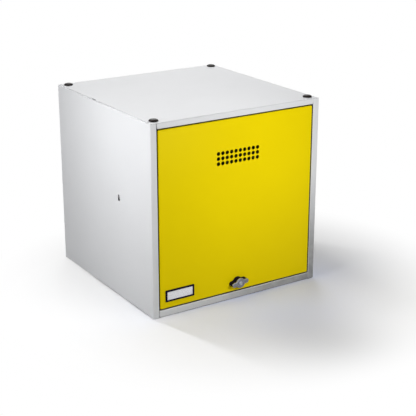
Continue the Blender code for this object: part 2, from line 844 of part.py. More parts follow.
def label_parts(axis):
    """Label holder with its clear window and blank card."""
    x = LABEL_SIDE + LABEL_WIDTH / 2 - DOOR_X
    z = DOOR_LOW + LABEL_RISE + LABEL_HEIGHT / 2
    place = add_marker("label_place", (x, FRONT_Y, z), (QUARTER_TURN, 0, 0), axis)
    opening = (LABEL_WIDTH - 2 * LABEL_FRAME, LABEL_HEIGHT - 2 * LABEL_FRAME)
    rebate = [size + 2 * LABEL_REBATE for size in opening]
    seat = JOINT_GAP
    front = seat + LABEL_DEPTH
    frame_mesh = plate_mesh(
        "label_holder", LABEL_DEPTH,
        rounded_rectangle(LABEL_WIDTH, LABEL_HEIGHT, LABEL_CORNER),
        rounded_rectangle(*opening, LABEL_CORNER / 2),
    )
    frame = add_piece("label_holder", frame_mesh, black_plastic)
    mount_on(frame, place, seat + LABEL_DEPTH / 2)
    pocket_low = (-rebate[0] / 2, -rebate[1] / 2, -CUT_OVERRUN)
    pocket_high = (rebate[0] / 2, rebate[1] / 2, front - LABEL_LIP)
    pocket = add_cutter("label_pocket", box_mesh("label_pocket", pocket_low, pocket_high))
    mount_on(pocket, place)
    cut(frame, pocket)
    window_front = front - LABEL_LIP - JOINT_GAP
    card_front = window_front - WINDOW_THICKNESS - JOINT_GAP
    sheet_size = [size - 2 * JOINT_GAP for size in rebate]
    for name, thickness, face, paint in (
        ("label_window", WINDOW_THICKNESS, window_front, clear_plastic),
        ("label_card", CARD_THICKNESS, card_front, white_card),
    ):
        outline = rounded_rectangle(*sheet_size, LABEL_CORNER / 2)
        piece = add_piece(name, plate_mesh(name, thickness, outline), paint)
        mount_on(piece, place, face - thickness / 2)


def lock_hole_cutter(axis):
    """Hole in the door's sheet for the lock's barrel."""
    low = (0, 0, -SHEET - CUT_OVERRUN)
    mesh = rods_mesh("lock_hole", BARREL_RADIUS + JOINT_GAP, [(low, (0, 0, CUT_OVERRUN))])
    cutter = add_cutter("lock_hole", mesh)
    mount_on(cutter, axis)
    return cutter


def lock_housing(axis):
    """Black body: a wing-shaped base on the door and a hollow barrel through it."""
    front = JOINT_GAP + HOUSING_DEPTH
    base = lift_to(
        plate_mesh("lock_housing", HOUSING_DEPTH, wing_outline()),
        JOINT_GAP + HOUSING_DEPTH / 2,
    )
    piece = add_piece("lock_housing", base, black_plastic)
    soften = piece.modifiers.new("soften", "BEVEL")
    soften.width = KNOB_ROUNDING / 2
    soften.segments = 2
    soften.limit_method = "ANGLE"
    soften.angle_limit = QUARTER_TURN / 2
    barrel_rod = [((0, 0, -BARREL_TAIL), (0, 0, HOUSING_DEPTH / 2))]
    barrel = add_cutter("lock_barrel", rods_mesh("lock_barrel", BARREL_RADIUS, barrel_rod))
    bore_rod = [((0, 0, -BARREL_TAIL - CUT_OVERRUN), (0, 0, front + CUT_OVERRUN))]
    bore = add_cutter("lock_bore", rods_mesh("lock_bore", BARREL_BORE, bore_rod))
    shank_low = front - SHANK_LENGTH - JOINT_GAP
    well_rod = [((0, 0, shank_low), (0, 0, front + CUT_OVERRUN))]
    well = add_cutter("lock_well", rods_mesh("lock_well", SHANK_RADIUS + JOINT_GAP, well_rod))
    for body in (piece, barrel, bore, well):
        mount_on(body, axis)
    join(piece, barrel)
    cut(piece, bore)
    cut(piece, well)
    return piece


def lock_washer(axis):
    """Washer between the door's sheet and the nut."""
    top = -SHEET - JOINT_GAP
    bore = BARREL_RADIUS + JOINT_GAP
    profile = [
        (bore, top),
        (WASHER_RADIUS, top),
        (WASHER_RADIUS, top - WASHER_THICKNESS),
        (bore, top - WASHER_THICKNESS),
    ]
    piece = turned("lock_washer", profile, zinc_plate, ring=True)
    mount_on(piece, axis)
    return piece


def lock_nut(axis):
    """Hexagon nut on the barrel."""
    top = -SHEET - WASHER_THICKNESS - 2 * JOINT_GAP
    outline = polygon(NUT_ACROSS, 6)
    mesh = plate_mesh("lock_nut", NUT_THICKNESS, outline, circle(BARREL_RADIUS + JOINT_GAP))
    piece = add_piece("lock_nut", mesh, zinc_plate)
    mount_on(piece, axis, top - NUT_THICKNESS / 2)
    return piece


def turn_knob(axis):
    """Cast wing knob, its round shank turning in the housing's well."""
    back = 2 * JOINT_GAP + HOUSING_DEPTH
    front = back + KNOB_DEPTH
    mesh = lift_to(plate_mesh("turn_knob", KNOB_DEPTH, wing_outline()), back + KNOB_DEPTH / 2)
    piece = add_piece("turn_knob", mesh, cast_silver)
    soften = piece.modifiers.new("soften", "BEVEL")
    soften.width = KNOB_ROUNDING
    soften.segments = 2
    soften.limit_method = "ANGLE"
    soften.angle_limit = QUARTER_TURN / 2
    shank_rod = [((0, 0, back - SHANK_LENGTH), (0, 0, back + KNOB_DEPTH / 2))]
    shank = add_cutter("knob_shank", rods_mesh("knob_shank", SHANK_RADIUS, shank_rod))
    plug_low = front - KEY_PLUG_LENGTH
    seat_rod = [((0, 0, plug_low), (0, 0, front + CUT_OVERRUN))]
    seat_radius = KEY_PLUG_RADIUS + JOINT_GAP
    seat = add_cutter("key_plug_seat", rods_mesh("key_plug_seat", seat_radius, seat_rod))
    for body in (piece, shank, seat):
        mount_on(body, axis)
    join(piece, shank)
    cut(piece, seat)
    return piece


def key_plug(axis):
    """Round cylinder core with its keyway, in the knob's hub."""
    front = 2 * JOINT_GAP + HOUSING_DEPTH + KNOB_DEPTH
    top = front + KEY_PLUG_PROUD
    low = front - KEY_PLUG_LENGTH + JOINT_GAP
    profile = [
        (0, top),
        (KEY_PLUG_RADIUS - PIN_CHAMFER, top),
        (KEY_PLUG_RADIUS, top - PIN_CHAMFER),
        (KEY_PLUG_RADIUS, low),
        (0, low),
    ]
    piece = turned("key_plug", profile, zinc_plate)
    mount_on(piece, axis)
    slot_low = (-KEYWAY_WIDTH / 2, -KEYWAY_LENGTH / 2, top - KEYWAY_DEPTH)
    slot_high = (KEYWAY_WIDTH / 2, KEYWAY_LENGTH / 2, top + CUT_OVERRUN)
    keyway = add_cutter("keyway", box_mesh("keyway", slot_low, slot_high))
    mount_on(keyway, axis)
    cut(piece, keyway)
    return piece


def knob_spindle(axis):
    """Square spindle from the knob's shank to the cam, with a round stud for the nut."""
    front = JOINT_GAP + HOUSING_DEPTH - SHANK_LENGTH
    cam_back = FRONT_Y - CAM_Y - CAM_THICKNESS
    stud_end = cam_back - JOINT_GAP - CAM_NUT_THICKNESS
    length = front - cam_back
    outline = polygon(SPINDLE_SIDE, 4)
    mesh = lift_to(plate_mesh("knob_spindle", length, outline), cam_back + length / 2)
    piece = add_piece("knob_spindle", mesh, zinc_plate)
    stud_rod = [((0, 0, stud_end), (0, 0, cam_back + CAM_THICKNESS))]
    stud = add_cutter("spindle_stud", rods_mesh("spindle_stud", SPINDLE_STUD, stud_rod))
    mount_on(piece, axis)
    mount_on(stud, axis)
    join(piece, stud)
    return piece


def lock_cam(axis):
    """Cam on the spindle, level at rest and turned down to lock."""
    cam_front = FRONT_Y - CAM_Y
    square = polygon(SPINDLE_SIDE + 2 * JOINT_GAP, 4)
    mesh = plate_mesh("lock_cam", CAM_THICKNESS, cam_outline(), square)
    piece = add_piece("lock_cam", mesh, zinc_plate)
    mount_on(piece, axis, cam_front - CAM_THICKNESS / 2)
    return piece


def cam_nut(axis):
    """Hexagon nut that holds the cam on the spindle."""
    top = FRONT_Y - CAM_Y - CAM_THICKNESS - JOINT_GAP
    outline = polygon(CAM_NUT_ACROSS, 6)
    mesh = plate_mesh("cam_nut", CAM_NUT_THICKNESS, outline, circle(SPINDLE_STUD + JOINT_GAP))
    piece = add_piece("cam_nut", mesh, zinc_plate)
    mount_on(piece, axis, top - CAM_NUT_THICKNESS / 2)
    return piece


def build_case():
    """The fixed pieces."""
    under_top = CASE_HEIGHT - SHEET - CUT_OVERRUN
    over_top = CASE_HEIGHT + CUT_OVERRUN
    stem_holes = corner_cutter("plug_holes", PLUG_STEM + JOINT_GAP, under_top, over_top)
    barb_room = corner_cutter(
        "barb_room", PLUG_BARB + NEST_CLEARANCE, under_top - PLUG_GRIP, over_top
    )
    nest_top = PLUG_HEIGHT + NEST_CLEARANCE
    nest_holes = corner_cutter("nest_holes", PLUG_RADIUS + NEST_CLEARANCE, -CUT_OVERRUN, nest_top)
    pin_holes = pin_hole_cutter(PIN_RADIUS + JOINT_GAP, "pin_holes")
    shared = (pin_holes, buffer_hole_cutter(), barb_room, nest_holes)
    for side_name in SIDES:
        side_panel(side_name, shared)
        hinge_pin(side_name)
        door_buffer(side_name)
    top_panel(stem_holes)
    bottom_panel(nest_holes)
    back_panel()
    lock_keeper()
    for corner, place in CORNERS.items():
        stacking_plug(corner, place)


def build_door():
    """The pieces that swing with the door, and the lock that turns in it."""
    door_axis = add_marker("door_axis", (0, HINGE_Y, HINGE_Z))
    turned_out = Matrix.Rotation(-LOCK_TILT, 4, "Y") @ Matrix.Rotation(QUARTER_TURN, 4, "X")
    lock_axis = add_marker("lock_axis", (0, FRONT_Y, LOCK_Z), turned_out.to_euler(), door_axis)
    bush_holes = pin_hole_cutter(BUSH_RADIUS + JOINT_GAP, "bush_holes")
    door_panel(door_axis, bush_holes, lock_hole_cutter(lock_axis))
    door_stiffener(door_axis)
    for side_name in SIDES:
        hinge_bush(side_name, door_axis)
    label_parts(door_axis)
    for lock_piece in (
        lock_housing, lock_washer, lock_nut, turn_knob, key_plug, knob_spindle, lock_cam, cam_nut,
    ):
        lock_piece(lock_axis)


clear_scene()
LOCKER = new_collection("cube_locker")
CUTTERS = new_collection("cutters")
build_case()
build_door()
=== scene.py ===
# %% [markdown]
# A cube locker, dressed for its picture
#
# The locker is a box of folded and painted sheet steel with a yellow flap door. The packed
# model gives every piece its place and its real size in metres, with the front at -Y and the
# floor at Z = 0. Each step below takes one piece or one finish, says what it is on the real
# locker, and makes a finer piece that stands in the same place.

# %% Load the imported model
import math

import bmesh
import bpy
from mathutils import Matrix, Vector


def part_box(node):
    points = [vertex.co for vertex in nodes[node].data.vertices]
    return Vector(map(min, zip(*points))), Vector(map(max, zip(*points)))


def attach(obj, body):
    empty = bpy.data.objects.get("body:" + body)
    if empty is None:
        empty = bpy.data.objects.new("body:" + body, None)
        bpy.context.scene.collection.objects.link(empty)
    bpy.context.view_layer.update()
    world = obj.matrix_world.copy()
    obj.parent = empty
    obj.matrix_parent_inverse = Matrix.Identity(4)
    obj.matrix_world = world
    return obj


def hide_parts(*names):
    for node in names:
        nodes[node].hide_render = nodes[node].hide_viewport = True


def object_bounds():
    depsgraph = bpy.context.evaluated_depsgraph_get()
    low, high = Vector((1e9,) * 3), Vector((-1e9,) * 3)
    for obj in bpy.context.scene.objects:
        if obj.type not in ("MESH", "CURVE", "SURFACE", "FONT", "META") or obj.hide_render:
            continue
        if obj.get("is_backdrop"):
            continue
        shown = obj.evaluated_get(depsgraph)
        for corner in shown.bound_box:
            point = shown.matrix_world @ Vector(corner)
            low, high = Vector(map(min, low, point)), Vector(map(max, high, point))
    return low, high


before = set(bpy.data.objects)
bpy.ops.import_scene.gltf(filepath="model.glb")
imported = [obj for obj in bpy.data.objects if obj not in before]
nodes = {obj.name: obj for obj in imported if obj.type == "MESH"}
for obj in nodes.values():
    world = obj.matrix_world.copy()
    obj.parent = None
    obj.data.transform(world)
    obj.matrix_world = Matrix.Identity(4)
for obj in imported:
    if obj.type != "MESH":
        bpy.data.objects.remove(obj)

scene = bpy.context.scene
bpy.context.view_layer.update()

# %% [markdown]
# Wiring nodes
#
# A material is a graph, and a graph made in a script is easier to read when one short helper
# adds a node, sets its options and fills or connects its inputs. An effect that several
# finishes share is a node group with named inputs and outputs, like a paint that is mixed once
# and used on many parts.

# %% Helpers for node graphs
COLOR, VALUE = "NodeSocketColor", "NodeSocketFloat"
MASK = {"Mask": VALUE}
SURFACE = {"Color": COLOR, "Roughness": VALUE, "Height": VALUE}
SMOOTH = "SMOOTHSTEP"


def wire(tree, kind, inputs=None, **options):
    """Add a node, set its options, and fill each named input with a value or a link."""
    made = tree.nodes.new(kind)
    for option, value in options.items():
        setattr(made, option, value)
    for key, value in (inputs or {}).items():
        if isinstance(value, bpy.types.NodeSocket):
            tree.links.new(value, made.inputs[key])
        else:
            made.inputs[key].default_value = value
    return made


def sums(tree, operation, *values, clamp=False):
    """One step of arithmetic on values or sockets."""
    inputs = dict(enumerate(values))
    return wire(tree, "ShaderNodeMath", inputs, operation=operation, use_clamp=clamp).outputs[0]


def vectors(tree, operation, *values):
    """One step of arithmetic on vectors. A single number comes out at Value."""
    inputs = dict(enumerate(values))
    return wire(tree, "ShaderNodeVectorMath", inputs, operation=operation).outputs


def product(tree, first, *others):
    """Several values multiplied."""
    for other in others:
        first = sums(tree, "MULTIPLY", first, other)
    return first


def spread(tree, value, span, onto=(0.0, 1.0), curve="LINEAR"):
    """Carry a value from one span onto another, and hold it at both ends."""
    return wire(tree, "ShaderNodeMapRange", {
        "Value": value, "From Min": span[0], "From Max": span[1],
        "To Min": onto[0], "To Max": onto[1],
    }, interpolation_type=curve).outputs["Result"]


def noise(tree, place, scale, detail, **more):
    """A cloudy pattern. The higher its scale, the finer it is."""
    return wire(tree, "ShaderNodeTexNoise", {
        "Vector": place, "Scale": scale, "Detail": detail, **more,
    }).outputs["Fac"]


def on_piece(tree, kind="Object"):
    """Where a point lies on its piece or, with Normal, which way the piece faces there."""
    return tree.nodes.new("ShaderNodeTexCoord").outputs[kind]


def stretched(tree, place, scale):
    """Places scaled by a different number along each axis, which stretches a pattern."""
    return wire(tree, "ShaderNodeMapping", {"Vector": place, "Scale": scale}).outputs["Vector"]


def parts_of(tree, vector):
    """The X, Y and Z of a vector."""
    return wire(tree, "ShaderNodeSeparateXYZ", {0: vector}).outputs


def blend_colors(tree, share, first, second):
    """Lay one colour over another by a share from 0 to 1."""
    return wire(tree, "ShaderNodeMix", {0: share, 6: first, 7: second}, data_type="RGBA").outputs[2]


def new_group(name, inputs, outputs):
    """An empty shader group with named sockets. Inputs come with their first values."""
    tree = bpy.data.node_groups.new(name, "ShaderNodeTree")
    for socket_name, value in inputs.items():
        kind = COLOR if isinstance(value, tuple) else VALUE
        socket = tree.interface.new_socket(socket_name, in_out="INPUT", socket_type=kind)
        socket.default_value = value
    for socket_name, kind in outputs.items():
        tree.interface.new_socket(socket_name, in_out="OUTPUT", socket_type=kind)
    return tree, tree.nodes.new("NodeGroupInput").outputs


def close_group(tree, results):
    """Link a group's results to its outputs."""
    wire(tree, "NodeGroupOutput", results)
    print("group:", tree.name)
    return tree


def mask_from(tree, group, values=None):
    """Place a shared group in a tree and return its mask."""
    return wire(tree, "ShaderNodeGroup", values, node_tree=group).outputs["Mask"]


print("node helpers ready")

# %% [markdown]
# Dust
#
# A locker that stands in a room has a thin film of dust on whatever faces up. The film could be
# painted by hand, but a rule is enough: the more a surface faced up when the locker stood closed,
# the more dust lies there, broken up by soft patches. The normal of the piece itself is read, so
# the film stays where it is when the door swings.

# %% Dust film
tree, given = new_group("dust_film", {"Amount": 0.2, "Patch Scale": 14.0}, MASK)
up = parts_of(tree, on_piece(tree, "Normal"))["Z"]
facing_up = sums(tree, "POWER", sums(tree, "MAXIMUM", up, 0.0), 2.0)
patches = noise(tree, on_piece(tree), given["Patch Scale"], 6.0)
dust_film = close_group(tree, {"Mask": product(tree, facing_up, patches, given["Amount"])})

# %% [markdown]
# Rubbed edges, and painted highlights on the bends
#
# Hands, bags and the next locker in a row rub a piece where it sticks out, so edges and bends
# lose their grain first and look a little brighter. On the paints the lighter edge colour is also
# a painted highlight: the light that the bends catch. A shader can feel an edge: the normal is
# averaged over a small radius, and where that average leans away from the true normal there is
# an edge. A noise breaks the rub and the painted highlight up, since no edge wears evenly.

# %% Edge rub and painted highlight
EDGE_LEAN = (0.80, 0.99)
tree, given = new_group("edge_rub_and_highlight", {"Reach": 0.0012, "Patch Scale": 45.0}, MASK)
averaged = wire(tree, "ShaderNodeBevel", {"Radius": given["Reach"]}, samples=4)
straight = tree.nodes.new("ShaderNodeNewGeometry")
normals = averaged.outputs["Normal"], straight.outputs["Normal"]
lean = vectors(tree, "DOT_PRODUCT", *normals)["Value"]
on_edge = spread(tree, lean, EDGE_LEAN, (1.0, 0.0))
uneven = noise(tree, on_piece(tree), given["Patch Scale"], 5.0)
broken = spread(tree, uneven, (0.38, 0.62), (0.2, 1.0))
edge_rub_and_highlight = close_group(tree, {"Mask": product(tree, on_edge, broken)})

# %% [markdown]
# Painted shade in narrow gaps
#
# Between the door and the case runs a gap of under three millimetres that lies deep in shade,
# and that shade is painted into the coat, nearly black. A shader can ask how much of the space
# close above a point is closed off by other surfaces: in an open corner it is half, in a narrow
# gap much more. Only what is more closed off than a corner gets the painted shade.

# %% Painted shade in gaps
GAP_TO_CORNER = (0.30, 0.52)
tree, given = new_group("painted_gap_shade", {"Reach": 0.009}, MASK)
openness = wire(tree, "ShaderNodeAmbientOcclusion", {"Distance": given["Reach"]}, samples=8)
gap_shaded = spread(tree, openness.outputs["AO"], GAP_TO_CORNER, (1.0, 0.0), SMOOTH)
painted_gap_shade = close_group(tree, {"Mask": gap_shaded})

# %% [markdown]
# Painted shade at the foot
#
# In the photograph the front frame gets darker towards its lower right corner, much more than
# the door beside it, which the lamps here don't give, so that shade is painted into the coat.
# The mask grows downwards and to the right, only on faces that look forward, and a noise makes
# its border uneven.

# %% Painted foot shade
FORWARD = (-0.5, -0.95)
DOWNWARDS = (0.33, 0.03)
RIGHTWARDS = (-0.23, 0.22)
tree, given = new_group("painted_foot_shade", {"Amount": 0.5}, MASK)
spot = parts_of(tree, on_piece(tree))
facing = parts_of(tree, on_piece(tree, "Normal"))["Y"]
forward = spread(tree, facing, FORWARD)
low_down = spread(tree, spot["Z"], DOWNWARDS, curve=SMOOTH)
to_right = spread(tree, spot["X"], RIGHTWARDS, curve=SMOOTH)
border_noise = noise(tree, on_piece(tree), 55.0, 6.0)
patchy = spread(tree, border_noise, (0.3, 0.6), (0.8, 1.0))
foot_shade_mask = product(tree, forward, low_down, to_right, patchy, given["Amount"])
painted_foot_shade = close_group(tree, {"Mask": foot_shade_mask})

# %% [markdown]
# Powder coat
#
# Powder is sprayed dry on the steel and melts into a tough skin with a faint orange peel: low
# ripples about a millimetre across, with a finer tooth on top. The skin is a little thicker in
# some places than in others, so its colour drifts by a percent or two. Noise at three sizes
# gives the drift, the peel and the tooth. The rub with its painted highlight, the painted shade
# at the foot, the painted shade in the gaps and the dust lie over them in the order in which
# they come, and both the grey and the yellow use the same group.

# %% Powder coat group
# The two dark colours here are painted shade, one at the foot and one in the gaps.
FOOT_SHADE_BLACK = (0.05, 0.05, 0.05, 1.0)
GAP_SHADE_BLACK = (0.003, 0.004, 0.010, 1.0)
ROOM_DUST = (0.48, 0.46, 0.43, 1.0)
RUB_AND_HIGHLIGHT_SHARE = 0.6
TOOTH_SHARE = 0.25
DUST_ROUGHENS = 0.4
tree, given = new_group(
    "powder_coat",
    {"Paint": (0.7, 0.7, 0.7, 1.0), "Shade": (0.6, 0.6, 0.6, 1.0), "Dust": 0.1, "Foot Shade": 0.0,
     "Rub And Highlight": (0.8, 0.8, 0.8, 1.0), "Gloss Low": 0.38, "Gloss High": 0.5},
    SURFACE,
)
place = on_piece(tree)
drift = spread(tree, noise(tree, place, 5.0, 4.0), (0.35, 0.65))
peel = noise(tree, place, 620.0, 2.0, Roughness=0.4)
tooth = noise(tree, place, 2600.0, 2.0)
coat = blend_colors(tree, drift, given["Paint"], given["Shade"])
# Lighter edges: rub, and on the paints a painted highlight along the bends.
rub_and_highlight = product(tree, mask_from(tree, edge_rub_and_highlight), RUB_AND_HIGHLIGHT_SHARE)
coat = blend_colors(tree, rub_and_highlight, coat, given["Rub And Highlight"])
# Painted shade: the lower right of the front frame is darkened towards black.
foot_shaded = mask_from(tree, painted_foot_shade, {"Amount": given["Foot Shade"]})
coat = blend_colors(tree, foot_shaded, coat, FOOT_SHADE_BLACK)
# Painted shade: narrow gaps and deep recesses are darkened almost to black.
coat = blend_colors(tree, mask_from(tree, painted_gap_shade), coat, GAP_SHADE_BLACK)
dust = mask_from(tree, dust_film, {"Amount": given["Dust"]})
coat = blend_colors(tree, dust, coat, ROOM_DUST)
gloss = spread(tree, peel, (0.3, 0.7), (given["Gloss Low"], given["Gloss High"]))
rough = sums(tree, "ADD", gloss, product(tree, dust, DUST_ROUGHENS), clamp=True)
height = sums(tree, "MULTIPLY_ADD", tooth, TOOTH_SHARE, peel)
powder_coat = close_group(tree, {"Color": coat, "Roughness": rough, "Height": height})

# %% [markdown]
# Moulded skin
#
# Black plastic and rubber come out of a mould whose walls were etched to a fine grain, so the
# skin is matt and a little cloudy. Cells of a Voronoi pattern make the grain, and a slow noise
# the cloudiness. The same group serves the lock's body, the label holder, the hinge's bushes,
# the plugs and the buffers, with its own values for each kind of moulding.

# %% Moulded skin group
MOULD_DUST = (0.26, 0.17, 0.14, 1.0)
CLOUD_SHARE = 0.5
GRAIN_ROUGHENS = 0.15
tree, given = new_group(
    "moulded_skin",
    {"Plastic": (0.01, 0.01, 0.012, 1.0), "Cloud": (0.03, 0.03, 0.035, 1.0),
     "Rub And Highlight": (0.03, 0.03, 0.035, 1.0), "Grain Scale": 1800.0, "Dust": 0.3, "Gloss": 0.4},
    SURFACE,
)
place = on_piece(tree)
cells = wire(tree, "ShaderNodeTexVoronoi", {"Vector": place, "Scale": given["Grain Scale"]})
grain = cells.outputs["Distance"]
cloud = product(tree, noise(tree, place, 60.0, 5.0), CLOUD_SHARE)
tint = blend_colors(tree, cloud, given["Plastic"], given["Cloud"])
rub_and_highlight = mask_from(tree, edge_rub_and_highlight, {"Reach": 0.0004, "Patch Scale": 160.0})
tint = blend_colors(tree, rub_and_highlight, tint, given["Rub And Highlight"])
dust = mask_from(tree, dust_film, {"Patch Scale": 220.0, "Amount": given["Dust"]})
tint = blend_colors(tree, dust, tint, MOULD_DUST)
rough = sums(tree, "MULTIPLY_ADD", grain, GRAIN_ROUGHENS, given["Gloss"], clamp=True)
moulded_skin = close_group(tree, {"Color": tint, "Roughness": rough, "Height": grain})

# %% [markdown]
# Plated metal
#
# Nickel on the cast knob and zinc on the fasteners are thin and even, over a surface that was
# tumbled in stone chips. What shows is a slow mottle in the tone and many tiny scratches. A
# stretched noise gives the scratches and a plain one the mottle.

# %% Plated metal group
ALONG_Z = (1.0, 1.0, 7.0)
tree, given = new_group(
    "plated_metal",
    {"Plate": (0.6, 0.6, 0.6, 1.0), "Mottle": (0.5, 0.5, 0.5, 1.0), "Mottle Scale": 90.0,
     "Rub And Highlight": (0.75, 0.75, 0.76, 1.0), "Rough Low": 0.25, "Rough High": 0.4},
    SURFACE,
)
place = on_piece(tree)
mottle = noise(tree, place, given["Mottle Scale"], 5.0, Distortion=0.6)
scratches = noise(tree, stretched(tree, place, ALONG_Z), 900.0, 3.0)
tone = blend_colors(tree, mottle, given["Plate"], given["Mottle"])
rub_and_highlight = mask_from(tree, edge_rub_and_highlight, {"Reach": 0.0006, "Patch Scale": 220.0})
tone = blend_colors(tree, rub_and_highlight, tone, given["Rub And Highlight"])
rough = spread(tree, scratches, (0.3, 0.7), (given["Rough Low"], given["Rough High"]))
plated_metal = close_group(tree, {"Color": tone, "Roughness": rough, "Height": scratches})

# %% [markdown]
# The finishes
#
# Each finish is one Principled shader fed by a group. What is the same all over a surface, such
# as how much of the room it mirrors, stays a plain number on the shader. The bump is tiny, since
# the peel on a real coat is only a few hundredths of a millimetre deep.

# %% Finish maker
def finish(name, group, values, bump, distance, **constants):
    """A Principled material whose colour, roughness and bump come from one group."""
    material = bpy.data.materials.new(name)
    material.use_nodes = True
    tree = material.node_tree
    shader = tree.nodes["Principled BSDF"]
    surface = wire(tree, "ShaderNodeGroup", values, node_tree=group).outputs
    relief = wire(tree, "ShaderNodeBump", {
        "Height": surface["Height"], "Strength": bump, "Distance": distance,
    })
    tree.links.new(surface["Color"], shader.inputs["Base Color"])
    tree.links.new(surface["Roughness"], shader.inputs["Roughness"])
    tree.links.new(relief.outputs["Normal"], shader.inputs["Normal"])
    for key, value in constants.items():
        shader.inputs[key.replace("_", " ")].default_value = value
    return material


# %% Paints
# On the grey the foot value is a painted shade, and on both paints the lighter edge colour is partly
# wear and partly a painted highlight on the bends.
grey_coat = finish("grey_coat", powder_coat, {
    "Paint": (0.700, 0.708, 0.724, 1.0), "Shade": (0.682, 0.690, 0.706, 1.0), "Dust": 0.05,
    "Rub And Highlight": (0.790, 0.798, 0.812, 1.0), "Foot Shade": 0.64,
    "Gloss Low": 0.40, "Gloss High": 0.50,
}, 0.25, 0.00006, Specular_IOR_Level=0.35)
yellow_coat = finish("yellow_coat", powder_coat, {
    "Paint": (0.835, 0.650, 0.0008, 1.0), "Shade": (0.815, 0.630, 0.0008, 1.0), "Dust": 0.01,
    "Rub And Highlight": (0.900, 0.710, 0.0040, 1.0),
    "Gloss Low": 0.36, "Gloss High": 0.46,
}, 0.25, 0.00006, Specular_IOR_Level=0.25, Specular_Tint=(1.0, 0.78, 0.04, 1.0))
print("paints:", grey_coat.name, yellow_coat.name)

# %% Plastics, rubber and metals
black_moulding = finish("black_moulding", moulded_skin, {
    "Plastic": (0.003, 0.002, 0.012, 1.0), "Cloud": (0.006, 0.005, 0.020, 1.0), "Dust": 0.0,
    "Rub And Highlight": (0.010, 0.009, 0.026, 1.0), "Gloss": 0.5,
}, 0.2, 0.00003, Specular_IOR_Level=0.06)
plug_moulding = finish("plug_moulding", moulded_skin, {
    "Plastic": (0.005, 0.003, 0.003, 1.0), "Cloud": (0.012, 0.007, 0.006, 1.0), "Dust": 0.05,
    "Rub And Highlight": (0.030, 0.020, 0.018, 1.0), "Gloss": 0.34, "Grain Scale": 1400.0,
}, 0.25, 0.00003, Specular_IOR_Level=0.06)
soft_rubber = finish("soft_rubber", moulded_skin, {
    "Plastic": (0.018, 0.018, 0.018, 1.0), "Cloud": (0.030, 0.030, 0.030, 1.0), "Dust": 0.15,
    "Gloss": 0.75, "Grain Scale": 1100.0,
}, 0.3, 0.00004)
satin_nickel = finish("satin_nickel", plated_metal, {
    "Plate": (0.31, 0.315, 0.345, 1.0), "Mottle": (0.22, 0.225, 0.255, 1.0),
    "Rub And Highlight": (0.50, 0.50, 0.53, 1.0), "Rough Low": 0.22, "Rough High": 0.34,
}, 0.15, 0.00003, Metallic=1.0)
bright_zinc = finish("bright_zinc", plated_metal, {
    "Plate": (0.52, 0.53, 0.55, 1.0), "Mottle": (0.38, 0.40, 0.44, 1.0), "Mottle Scale": 240.0,
    "Rough Low": 0.28, "Rough High": 0.45,
}, 0.2, 0.00003, Metallic=1.0)
print("finishes:", len(bpy.data.materials))

# %% [markdown]
# Card and its clear cover
#
# The label is a blank strip of white board. Its fibres lie mostly along the strip, so a noise
# that is stretched along X makes the tooth, with a slight blue in the white as paper makers add.
# The cover is a thin clear film: mostly see-through, with the shine of a smooth plastic. A low
# alpha does this and keeps the card's own colour, where full glass would need many light bounces.
# Film is scratched much as plating is, so it borrows that group.

# %% Card and clear film
ALONG_X = (0.25, 1.0, 1.0)
FIBRE_SHARE = 0.3
CARD_ROUGH, FIBRE_ROUGHENS = 0.65, 0.2
tree, given = new_group(
    "card_fibre", {"Board": (0.96, 0.96, 1.00, 1.0), "Fibre": (0.90, 0.90, 0.99, 1.0)}, SURFACE
)
place = stretched(tree, on_piece(tree), ALONG_X)
fibres = noise(tree, place, 2400.0, 4.0, Roughness=0.65)
share = product(tree, fibres, FIBRE_SHARE)
board = blend_colors(tree, share, given["Board"], given["Fibre"])
rough = sums(tree, "MULTIPLY_ADD", fibres, FIBRE_ROUGHENS, CARD_ROUGH)
card_fibre = close_group(tree, {"Color": board, "Roughness": rough, "Height": fibres})
label_board = finish("label_board", card_fibre, {}, 0.2, 0.00004)
clear_film = finish("clear_film", plated_metal, {
    "Plate": (0.90, 0.93, 0.96, 1.0), "Mottle": (0.86, 0.89, 0.94, 1.0),
    "Rough Low": 0.05, "Rough High": 0.10,
}, 0.02, 0.00001, Alpha=0.10)
print("label finishes:", label_board.name, clear_film.name)

# %% [markdown]
# Shapes
#
# Three kinds of shape make up nearly everything here: sheets, turned pieces and plates cut to
# an outline. A turned piece is a profile carried round an axis. A plate is an outline given a
# thickness, with its edges rounded a little, because no moulded or tumbled edge is sharp and a
# small round catches the light.

# %% Small geometry helpers
MERGE = 0.00001
SMOOTH_UP_TO = math.radians(40.0)
QUARTER = math.pi / 2
MOST_OF_SIDE = 0.45


def arc(center, radius, start, end, steps):
    """Points along an arc, both ends included."""
    x, y = center
    turns = [start + (end - start) * step / steps for step in range(steps + 1)]
    return [(x + radius * math.cos(turn), y + radius * math.sin(turn)) for turn in turns]


def soften(points, radius, steps=4):
    """Round the inner corners of an open profile."""
    result = [points[0]]
    for before, corner, after in zip(points, points[1:], points[2:]):
        corner = Vector(corner)
        one, two = Vector(before) - corner, Vector(after) - corner
        reach = min(radius, one.length * MOST_OF_SIDE, two.length * MOST_OF_SIDE)
        start, end = corner + one.normalized() * reach, corner + two.normalized() * reach
        for step in range(steps + 1):
            share = step / steps
            point = start.lerp(corner, share).lerp(corner.lerp(end, share), share)
            result.append(tuple(point))
    return result + [points[-1]]


def middle_of(node):
    """The middle of a CAD node's box."""
    low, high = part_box(node)
    return (low + high) / 2


def merged(mesh):
    """A bmesh of a mesh, with the corners that coincide made one."""
    bm = bmesh.new()
    bm.from_mesh(mesh)
    bmesh.ops.remove_doubles(bm, verts=bm.verts, dist=MERGE)
    return bm


def mesh_from(bm):
    """Turn a bmesh into a mesh, with its faces outward. The finished piece gets its name later."""
    bmesh.ops.recalc_face_normals(bm, faces=bm.faces)
    if bm.calc_volume(signed=True) < 0:
        bmesh.ops.reverse_faces(bm, faces=bm.faces)
    mesh = bpy.data.meshes.new("shape")
    bm.to_mesh(mesh)
    bm.free()
    return mesh


